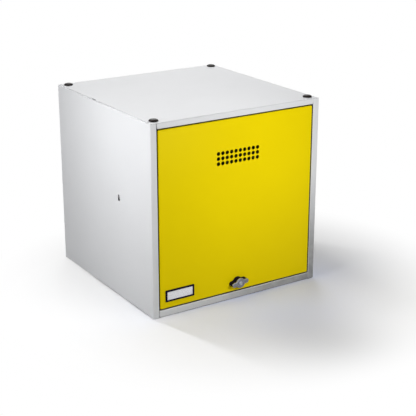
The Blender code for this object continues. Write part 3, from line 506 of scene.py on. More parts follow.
def turned(profile, sides=64, ring=False):
    """Carry a profile of (radius, height) points round the Z axis."""
    bm = bmesh.new()
    rows = []
    for radius, height in profile:
        count = 1 if radius < MERGE else sides
        spins = [2 * math.pi * index / sides for index in range(count)]
        points = [(radius * math.cos(spin), radius * math.sin(spin), height) for spin in spins]
        rows.append([bm.verts.new(point) for point in points])
    pairs = list(zip(rows, rows[1:]))
    if ring:
        pairs.append((rows[-1], rows[0]))
    for upper, lower in pairs:
        for index in range(sides):
            corners = [
                upper[index % len(upper)], upper[(index + 1) % len(upper)],
                lower[(index + 1) % len(lower)], lower[index % len(lower)],
            ]
            corners = list(dict.fromkeys(corners))
            if len(corners) > 2:
                bm.faces.new(corners)
    return mesh_from(bm)


def drill(radius, top, bottom):
    """A round cutting tool on the Z axis, between two heights."""
    return turned([(0, top), (radius, top), (radius, bottom), (0, bottom)])


def round_edges(bm, lines, width, steps):
    """Round a few edges of a bmesh."""
    bmesh.ops.bevel(
        bm, geom=lines, offset=width, segments=steps, profile=0.5, affect="EDGES", clamp_overlap=True
    )


def plate(outline, low, high, edge=0.0, steps=4):
    """An outline in the XY plane given a thickness, with its rims rounded."""
    bm = bmesh.new()
    face = bm.faces.new([bm.verts.new((x, y, low)) for x, y in outline])
    made = bmesh.ops.extrude_face_region(bm, geom=[face])["geom"]
    corners = [item for item in made if isinstance(item, bmesh.types.BMVert)]
    bmesh.ops.translate(bm, verts=corners, vec=(0, 0, high - low))
    if edge:
        rims = [line for line in bm.edges if abs(line.verts[0].co.z - line.verts[1].co.z) < MERGE]
        round_edges(bm, rims, edge, steps)
    return mesh_from(bm)


def settle(mesh, modifiers):
    """Give a mesh modifiers, each with its options, and return the plain mesh they make."""
    holder = bpy.data.objects.new("holder", mesh)
    scene.collection.objects.link(holder)
    for kind, options in modifiers:
        step = holder.modifiers.new(kind.lower(), kind)
        for option, value in options.items():
            setattr(step, option, value)
    view = bpy.context.evaluated_depsgraph_get()
    result = bpy.data.meshes.new_from_object(holder.evaluated_get(view))
    bpy.data.objects.remove(holder)
    return result


def combine(mesh, *others, operation="DIFFERENCE"):
    """Cut other meshes out of a mesh, or join them to it."""
    tools = []
    for other in others:
        tool = bpy.data.objects.new("tool", other)
        scene.collection.objects.link(tool)
        tools.append(tool)
    result = settle(mesh, [
        ("BOOLEAN", {"operation": operation, "object": tool}) for tool in tools
    ])
    for tool in tools:
        bpy.data.objects.remove(tool)
    return result


def put(name, mesh, material, body, slot, *stands_for):
    """Name a finished mesh, smooth it, paint it, and let it ride on its body."""
    mesh.materials.clear()
    mesh.materials.append(material)
    mesh.shade_smooth()
    mesh.set_sharp_from_angle(angle=SMOOTH_UP_TO)
    mesh = settle(mesh, [("WEIGHTED_NORMAL", {"keep_sharp": True, "weight": 80})])
    mesh.name = name
    piece = bpy.data.objects.new(name, mesh)
    scene.collection.objects.link(piece)
    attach(piece, body)
    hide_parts(*stands_for)
    print(name, "faces:", len(mesh.polygons), "stands for", ", ".join(stands_for))


# %% [markdown]
# The case
#
# Two folded sides carry the front faces beside the door. The top, the bottom and the back are
# flat sheets with folded rims between them. Their CAD shapes are right as they are, so each is
# copied and its loose triangles are merged. Smooth shading over the small facets of the folds
# turns them into round bends, and weighted normals keep the wide faces flat. The CAD's sides run
# on for two millimetres past their upright bends as flaps of no thickness, which no sheet has, so
# the copies have them drawn in.

# %% Sheets of the case
SHEETS = {
    "left_side_panel": "case", "right_side_panel": "case", "top_panel": "case",
    "bottom_panel": "case", "back_panel": "case", "door_stiffener": "door",
}
FOLDED_BACK = math.radians(150.0)
FLAT_WITHIN = math.radians(0.1)


def draw_flaps_in(bm):
    """Move the tips of flaps that stick out past the bends, with no thickness, onto the bends."""
    corners = set()
    for line in bm.edges:
        if len(line.link_faces) == 2 and line.calc_face_angle(0.0) > FOLDED_BACK:
            corners.update(line.verts)
    for end in (-1, 1):
        here = [corner for corner in corners if corner.co.y * end > 0]
        if not here:
            continue
        reaches = [corner.co.y * end for corner in here]
        halfway = (min(reaches) + max(reaches)) / 2
        bends = [corner for corner in here if corner.co.y * end < halfway]
        spots = {tip: min(bends, key=lambda bend: (bend.co - tip.co).length).co.copy()
                 for tip in here if tip not in bends}
        for tip, spot in spots.items():
            tip.co = spot
    return len(corners)


def merged_copy(node):
    """A copy of a CAD node's mesh with its loose triangles merged into flat faces."""
    bm = merged(nodes[node].data)
    if draw_flaps_in(bm):
        bmesh.ops.remove_doubles(bm, verts=bm.verts, dist=MERGE)
    bmesh.ops.dissolve_limit(bm, angle_limit=FLAT_WITHIN, verts=bm.verts, edges=bm.edges)
    return mesh_from(bm)


for node, body in SHEETS.items():
    coat = yellow_coat if body == "door" else grey_coat
    slot = "door_paint" if body == "door" else "case_paint"
    put(node + "_sheet", merged_copy(node), coat, body, slot, node)

# %% [markdown]
# The door
#
# The flap is one blank of sheet, punched flat, then folded into a shallow pan with lips that
# turn in behind. It is drawn the same way: a box without its back, bent round with a Bevel and
# given the sheet's thickness with Solidify, with eight steps in the bends where the CAD has three.

# %% Door pan
SHEET = 0.001
BEND = 0.0036
BEND_STEPS = 8
FOLD_OVER = math.radians(30.0)
LIP = 0.010
door_low, door_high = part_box("door_panel")
bm = bmesh.new()
bmesh.ops.create_cube(bm, size=1)
bmesh.ops.scale(bm, verts=bm.verts, vec=door_high - door_low)
bmesh.ops.translate(bm, verts=bm.verts, vec=(door_low + door_high) / 2)
rear = max(bm.faces, key=lambda face: face.calc_center_median().y)
bmesh.ops.inset_individual(bm, faces=[rear], thickness=LIP)
bmesh.ops.delete(bm, geom=[rear], context="FACES_ONLY")
bmesh.ops.recalc_face_normals(bm, faces=bm.faces)
front = min(bm.faces, key=lambda face: face.calc_center_median().y)
if front.normal.y > 0:
    bmesh.ops.reverse_faces(bm, faces=bm.faces)
blank = bpy.data.meshes.new("door_blank")
bm.to_mesh(blank)
bm.free()
pan = settle(blank, [
    ("BEVEL", {"width": BEND, "segments": BEND_STEPS, "limit_method": "ANGLE",
               "angle_limit": FOLD_OVER}),
    ("SOLIDIFY", {"thickness": SHEET, "offset": -1, "use_even_offset": True}),
])
print("door pan faces:", len(pan.polygons))

# %% [markdown]
# The vent
#
# Air leaves the locker through thirty punched holes, ten across and three down. On the press it
# is one row of punches that strikes three times. Geometry Nodes do the same: a grid gives the
# places, a cylinder is the punch, and a Boolean strikes all the punches through the sheet.

# %% Punching as a node tree
VENT_DROP = 0.0970
punch = bpy.data.node_groups.new("punched_vent", "GeometryNodeTree")
vent_sizes = {
    "Columns": ("Int", 10), "Rows": ("Int", 3), "Pitch": ("Float", 0.013),
    "Hole Radius": ("Float", 0.0050), "Sides": ("Int", 40), "Reach": ("Float", 0.006),
    "Middle": ("Vector", (0.0, door_low.y, door_high.z - VENT_DROP)),
}


def socket_for(name, kind):
    """Add a named input to the tree and return its identifier."""
    kind = "NodeSocket" + kind
    return punch.interface.new_socket(name, in_out="INPUT", socket_type=kind).identifier


socket_for("Sheet", "Geometry")
vent_ids = {name: socket_for(name, kind) for name, (kind, _) in vent_sizes.items()}
vent_ids["Finish"] = socket_for("Finish", "Material")
punch.interface.new_socket("Vent", in_out="OUTPUT", socket_type="NodeSocketGeometry")
given = punch.nodes.new("NodeGroupInput").outputs
across, down = (
    product(punch, sums(punch, "SUBTRACT", given[count], 1.0), given["Pitch"])
    for count in ("Columns", "Rows")
)
places = wire(punch, "GeometryNodeMeshGrid", {
    "Size X": across, "Size Y": down, "Vertices X": given["Columns"], "Vertices Y": given["Rows"],
})
rod = wire(punch, "GeometryNodeMeshCylinder", {
    "Vertices": given["Sides"], "Radius": given["Hole Radius"], "Depth": given["Reach"],
})
strikes = wire(punch, "GeometryNodeInstanceOnPoints", {
    "Points": places.outputs["Mesh"], "Instance": rod.outputs["Mesh"],
})
punches = wire(punch, "GeometryNodeRealizeInstances", {0: strikes.outputs[0]})
aimed = wire(punch, "GeometryNodeTransform", {
    "Geometry": punches.outputs[0], "Translation": given["Middle"], "Rotation": (QUARTER, 0.0, 0.0),
})
struck = wire(punch, "GeometryNodeMeshBoolean", {
    "Mesh 1": given["Sheet"], "Mesh 2": aimed.outputs["Geometry"],
}, operation="DIFFERENCE", solver="EXACT")
whole = wire(punch, "GeometryNodeRealizeInstances", {0: struck.outputs["Mesh"]})
coated = wire(punch, "GeometryNodeSetMaterial", {
    "Geometry": whole.outputs[0], "Material": given["Finish"],
})
wire(punch, "NodeGroupOutput", {"Vent": coated.outputs[0]})
print("tree:", punch.name, "nodes:", len(punch.nodes))

# %% Strike the vent through the pan
press = bpy.data.objects.new("door_in_press", pan)
scene.collection.objects.link(press)
step = press.modifiers.new("vent", "NODES")
step.node_group = punch
for name, (_, value) in vent_sizes.items():
    step[vent_ids[name]] = value
step[vent_ids["Finish"]] = yellow_coat
view = bpy.context.evaluated_depsgraph_get()
vented = bpy.data.meshes.new_from_object(press.evaluated_get(view))
bpy.data.objects.remove(press)
print("faces with the vent:", len(vented.polygons))

# %% [markdown]
# The lock's axis
#
# Everything in the lock is round about one axis, which leaves the door at a right angle. The
# knob rests turned by eight degrees. The pieces are drawn upright about Z and laid on the door
# with one matrix, which goes into the mesh so that each object stays at the origin.

# %% Places on the door
FACE_Y = door_low.y
LOCK_Z = middle_of("lock_washer").z
LOCK_TILT = math.radians(8.0)
OUTWARD = Matrix.Rotation(QUARTER, 4, "X")
on_lock = (
    Matrix.Translation((0, FACE_Y, LOCK_Z)) @ Matrix.Rotation(-LOCK_TILT, 4, "Y") @ OUTWARD
)
print("lock axis at z", round(1000 * LOCK_Z, 2), "mm")


def laid(mesh, place):
    """Turn and move a mesh to its place."""
    mesh.transform(place)
    return mesh


# %% Holes for the lock and the hinge bushes
BARREL = 0.009
BUSH = 0.0040
GAP = 0.0003
LOCK_CUT, PIN_CUT = 0.004, 0.003
lock_hole = laid(drill(BARREL + GAP, LOCK_CUT, -LOCK_CUT), on_lock)
pin_holes = []
for side in ("left", "right"):
    at = middle_of("hinge_bush_" + side)
    at.x = door_high.x if side == "right" else door_low.x
    pin_hole = drill(BUSH + GAP, PIN_CUT, -PIN_CUT)
    pin_holes.append(laid(pin_hole, Matrix.Translation(at) @ Matrix.Rotation(QUARTER, 4, "Y")))
door_mesh = combine(vented, lock_hole, *pin_holes)
print("door faces:", len(door_mesh.polygons))

# %% [markdown]
# Punched rims
#
# A punch pulls the sheet's skin down a little before it breaks through, so the front rim of
# each hole is rolled in and catches light. The rim's edges are found by where they lie, on the
# door's face, and get a narrow bevel.

# %% Roll the rims in
ROLL = 0.00012
SHARP_RIM = math.radians(60.0)
bm = merged(door_mesh)
rims = []
for line in bm.edges:
    on_face = all(abs(corner.co.y - FACE_Y) < MERGE for corner in line.verts)
    if on_face and len(line.link_faces) == 2 and line.calc_face_angle(0.0) > SHARP_RIM:
        rims.append(line)
print("rim edges to roll:", len(rims))
round_edges(bm, rims, ROLL, 2)
put("door_sheet", mesh_from(bm), yellow_coat, "door", "door_paint", "door_panel")

# %% [markdown]
# Stacking plugs
#
# A black button in each corner of the top finds the hole in the base of the locker above. It is
# a turned shape: a low dome over a straight rim, with a neck and a barb that hold it in the
# sheet.

# %% Plugs
PLUG_HIGH = 0.0048
PLUG_WIDE = 0.01175
PLUG_PROFILE = [
    (0.0, PLUG_HIGH), (0.0030, PLUG_HIGH), (0.0070, 0.00468), (0.0093, 0.0041), (0.0108, 0.0031),
    (0.0116, 0.0021), (PLUG_WIDE, 0.0014), (PLUG_WIDE, 0.0007), (0.0115, 0.0003),
]
PLUG_TAIL = [
    (0.0045, 0.0003), (0.0045, -0.0013), (0.0060, -0.0013), (0.0060, -0.0028), (0.0045, -0.0063),
    (0.0, -0.0063),
]
for corner in ("front_left", "front_right", "rear_left", "rear_right"):
    node = "stacking_plug_" + corner
    at = middle_of(node)
    at.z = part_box(node)[1].z - PLUG_HIGH
    button = laid(turned(soften(PLUG_PROFILE + PLUG_TAIL, 0.0004, 2)), Matrix.Translation(at))
    put(node + "_button", button, plug_moulding, "case", "plug_plastic", node)

# %% [markdown]
# The wing knob's outline
#
# Seen from the front the knob is a round hub with two round wings, joined by fillets, and the
# black body behind it has the same outline. One quarter of it is three arcs, one on the wing,
# one in the fillet and one on the hub, and the rest is that quarter mirrored twice.

# %% Outline of the wings
SPAN = 0.0495
WING = 0.006
HUB = 0.01325
FILLET = 0.003
fillet_y = WING + FILLET
fillet_x = math.sqrt((HUB + FILLET) ** 2 - fillet_y ** 2)
meet = math.atan2(fillet_y, fillet_x)
quarter = arc((SPAN / 2 - WING, 0), WING, 0, QUARTER, 12)
quarter += arc((fillet_x, fillet_y), FILLET, -QUARTER, meet - math.pi, 8)
quarter += arc((0, 0), HUB, meet, QUARTER, 12)[1:]
upper = quarter + [(-x, y) for x, y in reversed(quarter[:-1])]
wings = upper + [(-x, -y) for x, y in upper[1:-1]]
print("outline points:", len(wings))

# %% [markdown]
# The lock's black body
#
# The body is a thick moulding on the door with a barrel through the sheet. Its front has a round
# well for the knob's shank, with a narrow chamfer round its mouth. The barrel has a thread for
# the nut behind the door.

# %% Lock body
BODY_DEPTH = 0.0128
BODY_FRONT = GAP + BODY_DEPTH
BODY_EDGE = 0.0007
BORE = 0.0050
SHANK, SHANK_LENGTH = 0.0078, 0.0090
WELL = SHANK + GAP
WELL_BOTTOM = BODY_FRONT - SHANK_LENGTH - GAP
CHAMFER = 0.0004
BARREL_START, BARREL_END = 0.004, -0.021
THREAD_PITCH, THREAD_DEPTH = 0.0015, 0.0005
CLEAR_ABOVE, CLEAR_BELOW = 0.02, -0.03
root = BARREL - THREAD_DEPTH
threads = [(BARREL, -0.0013), (BARREL - 0.0002, -0.0015)]
ring_z = -0.0022
while ring_z > BARREL_END + THREAD_PITCH:
    threads += [
        (root, ring_z), (root, ring_z - 0.25 * THREAD_PITCH),
        (BARREL, ring_z - 0.5 * THREAD_PITCH), (BARREL, ring_z - 0.65 * THREAD_PITCH),
    ]
    ring_z -= THREAD_PITCH
barrel = turned([(0, BARREL_START), (BARREL, BARREL_START)] + threads + [
    (root, BARREL_END + 0.0008), (BARREL - 0.0011, BARREL_END), (0, BARREL_END),
])
block = plate(wings, GAP, BODY_FRONT, BODY_EDGE)
bore = drill(BORE, CLEAR_ABOVE, CLEAR_BELOW)
well = turned([
    (0, CLEAR_ABOVE), (WELL + CHAMFER, CLEAR_ABOVE), (WELL + CHAMFER, BODY_FRONT),
    (WELL, BODY_FRONT - CHAMFER), (WELL, WELL_BOTTOM), (0, WELL_BOTTOM),
])
body_mesh = combine(combine(block, barrel, operation="UNION"), bore, well)
put("lock_body", laid(body_mesh, on_lock), black_moulding, "door", "black_plastic", "lock_housing")

# %% [markdown]
# The cast knob
#
# The knob is a zinc casting with soft edges, tumbled and nickel plated. A shallow round step
# frames the key's core in its hub. It is a plate with a wide rounding on its rims, joined to a
# turned shank and cut by a turned tool that leaves both the seat and the step.

# %% Knob
KNOB_BACK = 2 * GAP + BODY_DEPTH
KNOB_FRONT = KNOB_BACK + 0.0044
KNOB_EDGE = 0.0012
SHANK_TOP, SHANK_END = KNOB_BACK + 0.002, KNOB_BACK - SHANK_LENGTH
KEY_CORE = 0.0050
KEY_SEAT = KEY_CORE + GAP
SEAT_BOTTOM = KNOB_FRONT - 0.0110
STEP_WIDE, STEP_RIM, STEP_DEPTH = 0.0078, 0.0072, 0.0004
wing_plate = plate(wings, KNOB_BACK, KNOB_FRONT, KNOB_EDGE, 6)
shank = turned(soften([
    (0, SHANK_TOP), (SHANK, SHANK_TOP), (SHANK, SHANK_END), (0, SHANK_END),
], 0.0004))
seat_tool = turned([
    (0, KNOB_FRONT + 0.002), (STEP_WIDE, KNOB_FRONT + 0.002), (STEP_WIDE, KNOB_FRONT + 0.0001),
    (STEP_RIM, KNOB_FRONT - STEP_DEPTH), (KEY_SEAT + 0.0003, KNOB_FRONT - STEP_DEPTH),
    (KEY_SEAT, KNOB_FRONT - 0.0007), (KEY_SEAT, SEAT_BOTTOM), (0, SEAT_BOTTOM),
])
knob_mesh = combine(combine(wing_plate, shank, operation="UNION"), seat_tool)
put("wing_knob", laid(knob_mesh, on_lock), satin_nickel, "knob", "cast_silver", "turn_knob")

# %% [markdown]
# The key's core
#
# The core is a round bar with the keyway cut down its middle. Its face stands a hair proud of
# the knob and its rim is chamfered. A ridge on one side narrows the keyway, so that only a key
# with the right groove goes in.

# %% Key core
CORE_TOP = KNOB_FRONT + 0.0004
CORE_LOW = SEAT_BOTTOM + GAP
core = turned(soften([
    (0, CORE_TOP), (0.0044, CORE_TOP), (KEY_CORE, CORE_TOP - 0.0006), (KEY_CORE, CORE_LOW),
    (0, CORE_LOW),
], 0.0002, 3))
keyway_outline = [
    (-0.0007, -0.00325), (0.0007, -0.00325), (0.0007, -0.0008), (0.0003, -0.0004),
    (0.0003, 0.0006), (0.0007, 0.0010), (0.0007, 0.00325), (-0.0007, 0.00325),
]
keyway = plate(keyway_outline, CORE_TOP - 0.0070, CORE_TOP + 0.001)
core_mesh = combine(core, keyway)
put("key_core", laid(core_mesh, on_lock), bright_zinc, "key", "zinc_plate", "key_plug")

# %% [markdown]
# Nuts and washer behind the door
#
# A pressed nut has six flats and a chamfer that takes the corners off both faces. The chamfer is
# a cone, so the nut is a hexagon that is cut by a turned ring, which gives the curved lines
# where cone and flats meet.

# %% Nuts and washer
def nut(across, hole, low, high):
    """A hexagon nut, measured across its flats, with chamfered corners and a countersunk hole."""
    flat = across / 2
    corner = flat / math.cos(math.pi / 6)
    turns = [2 * math.pi * (index + 0.5) / 6 for index in range(6)]
    hexagon = [(corner * math.cos(turn), corner * math.sin(turn)) for turn in turns]
    inner, beyond, outer = flat * 0.97, corner * 1.02, corner * 1.3
    drop = (corner - flat) * 0.6
    spare = MERGE * 10
    chamfer = turned([
        (inner, high + spare), (outer, high + spare), (outer, low - spare), (inner, low - spare),
        (beyond, low + drop), (beyond, high - drop),
    ], ring=True)
    sink = hole * 0.08
    thread = turned([
        (0, high + 0.001), (hole + sink, high + 0.001), (hole + sink, high), (hole, high - sink),
        (hole, low + sink), (hole + sink, low), (hole + sink, low - 0.001), (0, low - 0.001),
    ])
    return combine(plate(hexagon, low, high), chamfer, thread)


WASHER_RIM, WASHER = 0.0125, 0.001
NUT_ACROSS, NUT = 0.024, 0.006
eye = BARREL + GAP
washer_top = -SHEET - GAP
washer = turned(soften([
    (eye, washer_top - WASHER / 2), (eye, washer_top), (WASHER_RIM, washer_top),
    (WASHER_RIM, washer_top - WASHER), (eye, washer_top - WASHER), (eye, washer_top - WASHER / 2),
], 0.0001, 2)[:-1], ring=True)
put("barrel_washer", laid(washer, on_lock), bright_zinc, "door", "zinc_plate", "lock_washer")
nut_top = washer_top - WASHER - GAP
barrel_nut = nut(NUT_ACROSS, eye, nut_top - NUT, nut_top)
put("barrel_nut", laid(barrel_nut, on_lock), bright_zinc, "door", "zinc_plate", "lock_nut")

# %% [markdown]
# Spindle and cam
#
# The square spindle carries the turn of the knob to the cam, a flat finger that swings down
# behind the case's lower flange. Both are plain steel parts whose CAD shapes are right. Their
# edges get the small round that tumbling leaves, and the finish is zinc.

# %% Spindle, cam and its nut
TUMBLED = 0.0002
SHARP = math.radians(50.0)
CAM_NUT_ACROSS, CAM_THREAD = 0.0080, 0.0022
for node, name in (("knob_spindle", "square_spindle"), ("lock_cam", "cam_finger")):
    softened = settle(merged_copy(node), [
        ("BEVEL", {"width": TUMBLED, "segments": 2, "limit_method": "ANGLE", "angle_limit": SHARP}),
    ])
    put(name, softened, bright_zinc, "knob", "zinc_plate", node)
nut_low, nut_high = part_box("cam_nut")
cam_nut = nut(CAM_NUT_ACROSS, CAM_THREAD + GAP, FACE_Y - nut_high.y, FACE_Y - nut_low.y)
put("cam_finger_nut", laid(cam_nut, on_lock), bright_zinc, "knob", "zinc_plate", "cam_nut")

# %% [markdown]
# Hinge pins, bushes and buffers
#
# The flap turns on two headed pins in plastic bushes, hidden in the gap beside the door. Two
# rubber buffers on the stop flanges soften its close. All six are turned shapes with slightly
# soft edges.

# %% Hinge and buffers
PIN_HEAD, BUFFER_HEAD = 0.0015, 0.0017
pin_low, pin_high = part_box("hinge_pin_left")
bush_low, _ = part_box("hinge_bush_left")
reach = pin_high.x - pin_low.x - PIN_HEAD
collar = door_low.x - bush_low.x
pin_profile = soften([
    (0, PIN_HEAD), (0.0039, PIN_HEAD), (0.0045, 0.0009), (0.0045, 0), (0.0025, 0),
    (0.0025, 0.0006 - reach), (0.0019, -reach), (0, -reach),
], 0.0003, 3)
bush_profile = [
    (0.0028, collar - 0.0002), (0.0030, collar), (0.0047, collar), (0.0049, collar - 0.0002),
    (0.0049, 0.0003), (BUSH, 0.0003), (BUSH, -0.0047), (0.0037, -0.0050), (0.0028, -0.0050),
]
buffer_profile = soften([
    (0, BUFFER_HEAD), (0.0026, BUFFER_HEAD), (0.0035, 0.0011), (0.0035, 0.0003), (0.0016, 0.0003),
    (0.0016, -0.0013), (0.0024, -0.0013), (0.0016, -0.0043), (0, -0.0043),
], 0.0003, 3)
print("pin reach", round(1000 * reach, 2), "mm, bush collar", round(1000 * collar, 2), "mm")
for side, sign in (("left", -1), ("right", 1)):
    sideways = Matrix.Rotation(sign * QUARTER, 4, "Y")
    low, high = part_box("hinge_pin_" + side)
    at = (low + high) / 2
    at.x = high.x - PIN_HEAD if sign > 0 else low.x + PIN_HEAD
    pin = laid(turned(pin_profile, 48), Matrix.Translation(at) @ sideways)
    put("pin_" + side, pin, bright_zinc, "case", "zinc_plate", "hinge_pin_" + side)
    at = middle_of("hinge_bush_" + side)
    at.x = door_high.x if sign > 0 else door_low.x
    bush = laid(turned(bush_profile, 48, ring=True), Matrix.Translation(at) @ sideways)
    put("bush_" + side, bush, black_moulding, "door", "black_plastic", "hinge_bush_" + side)
    at = middle_of("door_buffer_" + side)
    at.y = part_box("door_buffer_" + side)[0].y + BUFFER_HEAD
    pad = laid(turned(buffer_profile, 48), Matrix.Translation(at) @ OUTWARD)
    put("buffer_" + side, pad, soft_rubber, "case", "black_rubber", "door_buffer_" + side)

# %% [markdown]
# The keeper
#
# A thin zinc clip sits over the lower stop flange where the cam rubs. The CAD fold is right, so
# it is copied and smoothed as the other sheets are.

# %% Keeper clip
put("keeper_clip", merged_copy("lock_keeper"), bright_zinc, "case", "zinc_plate", "lock_keeper")

# %% [markdown]
# The label holder
#
# A dark moulded frame holds a blank card under a clear film. The frame slopes a little towards
# its opening, so light slides off its inner edge. It is drawn as rings of points, from the back
# edge over the rim to the opening, which gives the slope and both round edges in one skin.

# %% Rings of points
CORNER_STEPS = 6


def ring_of(width, height, corner, depth):
    """Points of a rounded rectangle about the holder's centre, at a depth from the door."""
    points = []
    for index, (x, y) in enumerate(((1, 1), (-1, 1), (-1, -1), (1, -1))):
        middle = (x * (width / 2 - corner), y * (height / 2 - corner))
        start = index * QUARTER
        bend = arc(middle, corner, start, start + QUARTER, CORNER_STEPS)
        points += [(*point, depth) for point in bend]
    return points


def skin(rings):
    """A closed skin through rings of points, the last ring joined to the first."""
    bm = bmesh.new()
    rows = [[bm.verts.new(point) for point in ring] for ring in rings]
    for upper, lower in zip(rows, rows[1:] + rows[:1]):
        for index in range(len(upper)):
            after = (index + 1) % len(upper)
            bm.faces.new((upper[index], upper[after], lower[after], lower[index]))
    return mesh_from(bm)


print("ring points:", len(ring_of(1, 1, 0.1, 0)))

# %% Frame
FRAME, FRONT = 0.0046, GAP + 0.0026
RIM, INNER = 0.0016, 0.0008
LIP_DEPTH, REBATE = 0.0008, 0.0015
label_low, label_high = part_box("label_holder")
at = middle_of("label_holder")
at.y = FACE_Y
on_label = Matrix.Translation(at) @ OUTWARD
wide, tall = label_high.x - label_low.x, label_high.z - label_low.z
open_wide, open_tall = wide - 2 * FRAME, tall - 2 * FRAME
pocket_wide, pocket_tall = open_wide + 2 * REBATE, open_tall + 2 * REBATE
frame_mesh = skin([
    ring_of(pocket_wide, pocket_tall, 0.0003, GAP),
    ring_of(wide, tall, RIM, GAP),
    ring_of(wide, tall, RIM, FRONT - 0.0006),
    ring_of(wide - 0.0004, tall - 0.0004, 0.0014, FRONT - 0.0002),
    ring_of(wide - 0.0012, tall - 0.0012, 0.0010, FRONT),
    ring_of(open_wide + 0.0030, open_tall + 0.0030, 0.0009, FRONT),
    ring_of(open_wide + 0.0004, open_tall + 0.0004, INNER, FRONT - 0.0003),
    ring_of(open_wide, open_tall, INNER, FRONT - 0.0005),
    ring_of(open_wide, open_tall, INNER, FRONT - LIP_DEPTH),
    ring_of(pocket_wide, pocket_tall, 0.0003, FRONT - LIP_DEPTH),
])
put("label_frame", laid(frame_mesh, on_label), black_moulding, "door", "black_plastic",
    "label_holder")

# %% Film and card
FILM, CARD = 0.0005, 0.0004
film_front = FRONT - LIP_DEPTH - GAP
card_front = film_front - FILM - GAP
insert = ring_of(pocket_wide - 2 * GAP, pocket_tall - 2 * GAP, INNER, 0)
for name, node, depth, thick, material, slot in (
    ("label_film", "label_window", film_front, FILM, clear_film, "clear_plastic"),
    ("label_strip", "label_card", card_front, CARD, label_board, "white_card"),
):
    sheet = plate([point[:2] for point in insert], depth - thick, depth, 0.00008, 2)
    put(name, laid(sheet, on_label), material, "door", slot, node)

# %% [markdown]
# Floor and room
#
# The picture was made on a white table that is lit until it turns pure white, so only the
# locker's shadow shows. The floor here is a plain pale colour that keeps the shadow. A cool spot
# before the door takes out the door's yellow light, which the photograph doesn't show, and a
# dark spot farther in front deepens the shadow there. For the camera, for mirrors and for clear
# plastic the floor fades to pure white away from the locker, and the room behind is white to
# the same rays. To all other rays the floor is a plain grey and the room is black, so the lamps
# alone light the locker, at a plain level.

# %% Floor and its material
FLOOR_REACH = 20.0
floor_mesh = bpy.data.meshes.new("floor")
bm = bmesh.new()
bmesh.ops.create_grid(bm, x_segments=1, y_segments=1, size=FLOOR_REACH)
bm.to_mesh(floor_mesh)
bm.free()
floor = bpy.data.objects.new("floor", floor_mesh)
scene.collection.objects.link(floor)
floor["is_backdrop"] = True
table_white = bpy.data.materials.new("table_white")
table_white.use_nodes = True
floor_mesh.materials.append(table_white)
tree = table_white.node_tree
where = on_piece(tree)
print("floor corners:", [tuple(corner.co) for corner in floor_mesh.vertices])


# %% Tools for the floor's colour
def seen_by(tree):
    """1 for rays from the camera, a mirror or clear plastic, and 0 for all others."""
    rays = tree.nodes.new("ShaderNodeLightPath").outputs
    mirrored = sums(tree, "MAXIMUM", rays["Is Glossy Ray"], rays["Is Transmission Ray"])
    return sums(tree, "MAXIMUM", rays["Is Camera Ray"], mirrored)


def soft_spot(x, y, half_width, half_depth):
    """A mask that is 1 at a spot on the floor and fades smoothly round it."""
    apart = vectors(tree, "SUBTRACT", where, (x, y, 0.0))["Vector"]
    shares = vectors(tree, "MULTIPLY", apart, (1 / half_width, 1 / half_depth, 0.0))["Vector"]
    squared = sums(tree, "POWER", vectors(tree, "LENGTH", shares)["Value"], 2.0)
    return sums(tree, "EXPONENT", product(tree, squared, -1.0))


print("floor tools ready")

# %% Floor colour
TABLE = (0.864, 0.864, 0.864, 1.0)
COOL = (0.729, 0.778, 0.999, 1.0)
BLACK = (0.0, 0.0, 0.0, 1.0)
PLAIN_GREY = (0.35, 0.35, 0.35, 1.0)
DEPTH = 0.8
before_door = soft_spot(0.056, -0.322, 0.243, 0.243)
in_shadow = product(tree, soft_spot(0.038, -0.70, 0.159, 0.205), DEPTH)
table_top = blend_colors(tree, before_door, TABLE, COOL)
table_top = blend_colors(tree, in_shadow, table_top, BLACK)
seen = seen_by(tree)
shader = tree.nodes["Principled BSDF"]
shader.inputs["Roughness"].default_value = 0.9
shader.inputs["Specular IOR Level"].default_value = 0.0
tree.links.new(blend_colors(tree, seen, PLAIN_GREY, table_top), shader.inputs["Base Color"])
print("table:", TABLE[0])

# %% Fade to white
FADE_MIDDLE = (0.047, -0.133, 0.0)
FADE_SPAN = (0.246, 0.659)
WHITE = (1.0, 1.0, 1.0, 1.0)
apart = vectors(tree, "DISTANCE", where, FADE_MIDDLE)["Value"]
far = spread(tree, apart, FADE_SPAN, curve=SMOOTH)
glow = wire(tree, "ShaderNodeEmission", {"Color": WHITE, "Strength": 1.0})
mixed = wire(tree, "ShaderNodeMixShader", {
    0: product(tree, far, seen), 1: shader.outputs[0], 2: glow.outputs[0],
})
tree.links.new(mixed.outputs[0], tree.nodes["Material Output"].inputs["Surface"])
print("floor fades over", FADE_SPAN, "m")

# %% Room
room = bpy.data.worlds.new("room")
scene.world = room
room.use_nodes = True
background = room.node_tree.nodes["Background"].inputs
background["Color"].default_value = WHITE
room.node_tree.links.new(seen_by(room.node_tree), background["Strength"])
scene.view_settings.view_transform = "Standard"
print("view:", scene.view_settings.view_transform)

# %% [markdown]
# Lamps
#
# A tall narrow softbox behind and to the left, made of three lamps one above the other, throws
# the long shadow with its clean left edge. Two large soft panels light the whole locker, one
# from behind on the right and one from far in front. Smaller ones near the front and the left
# side lift what the camera sees. They are area lamps with their real sizes in metres. The
# camera doesn't see them, but the metal does.

# %% Softboxes
def softbox(name, place, aim, size, watts):
    """A rectangular lamp at a place, turned to face a point."""
    lamp = bpy.data.lights.new(name, "AREA")
    lamp.shape = "RECTANGLE"
    lamp.size, lamp.size_y = size
    lamp.energy = watts
    stand = bpy.data.objects.new(name, lamp)
    stand.location = place
    stand.rotation_euler = (Vector(place) - Vector(aim)).to_track_quat("Z", "Y").to_euler()
    stand.visible_camera = False
    scene.collection.objects.link(stand)
    print(name, watts, "W")


def outwards_at(azimuth, elevation):
    """The direction away from the locker: 0 is in front, 90 to the right, 180 behind."""
    turn, rise = math.radians(azimuth), math.radians(elevation)
    return Vector((
        math.sin(turn) * math.cos(rise), -math.cos(turn) * math.cos(rise), math.sin(rise)
    ))


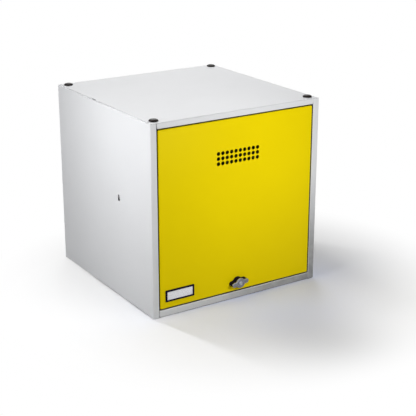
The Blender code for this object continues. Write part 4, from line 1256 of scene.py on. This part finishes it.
MIDDLE = Vector((0.0, 0.0, 0.25))
STRIP_X, STRIP_Y = -0.83, 2.08
STRIP = (0.2, 1.0)
for height, watts in ((2.5, 28.3), (3.5, 18.1), (4.5, 34.8)):
    softbox(f"tall_strip_{height:g}", (STRIP_X, STRIP_Y, height), (0, 0, height), STRIP, watts)
for name, azimuth, elevation, distance, side, watts in (
    ("back_right", 150, 40, 2.2, 1.1, 18.4),
    ("front_far", 0, 15, 2.2, 1.1, 15.0),
    ("left_panel", 285, 20, 1.0, 0.4, 5.0),
):
    stand_at = MIDDLE + distance * outwards_at(azimuth, elevation)
    softbox(name, stand_at, MIDDLE, (side, side), watts)
softbox("front_near", (0.08, -0.75, 0.36), (0.08, -0.25, 0.36), (0.15, 0.15), 1.07)
softbox("front_top", (0.10, -0.60, 0.85), (0.10, -0.25, 0.33), (0.25, 0.25), 0.65)
softbox("left_near", (-0.60, -0.05, 0.50), (-0.25, -0.02, 0.36), (0.2, 0.2), 0.25)

# %% [markdown]
# The camera
#
# The camera stands in front of the left corner, 33 degrees round and 19 degrees up, about three
# metres away with a long lens. The numbers come from matching the locker's corners to where the
# photograph shows them.

# %% Camera
AZIMUTH, ELEVATION = -32.722, 19.188
ROLL = math.radians(0.002)
SENSOR, PHOTO_SIDE, FOCAL_PIXELS = 36.0, 416, 1083.9
ASIDE, ABOVE, AWAY = 0.06015, 0.16375, 3.0152
back = outwards_at(AZIMUTH, ELEVATION)
level = Vector((math.cos(math.radians(AZIMUTH)), math.sin(math.radians(AZIMUTH)), 0))
upright = back.cross(level)
right = level * math.cos(ROLL) + upright * math.sin(ROLL)
top = upright * math.cos(ROLL) - level * math.sin(ROLL)
camera = bpy.data.objects.new("camera", bpy.data.cameras.new("camera"))
camera.data.sensor_width = SENSOR
camera.data.lens = FOCAL_PIXELS / PHOTO_SIDE * SENSOR
stance = Matrix((right, top, back)).transposed().to_4x4()
stance.translation = right * ASIDE + top * ABOVE + back * AWAY
camera.matrix_world = stance
scene.collection.objects.link(camera)
scene.camera = camera
print("camera", [round(value, 3) for value in stance.translation])
print("lens", round(camera.data.lens, 1))

# %% Print the sizes of the visual model
low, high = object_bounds()
print("visual box in mm:", [round(1000 * side, 2) for side in high - low])
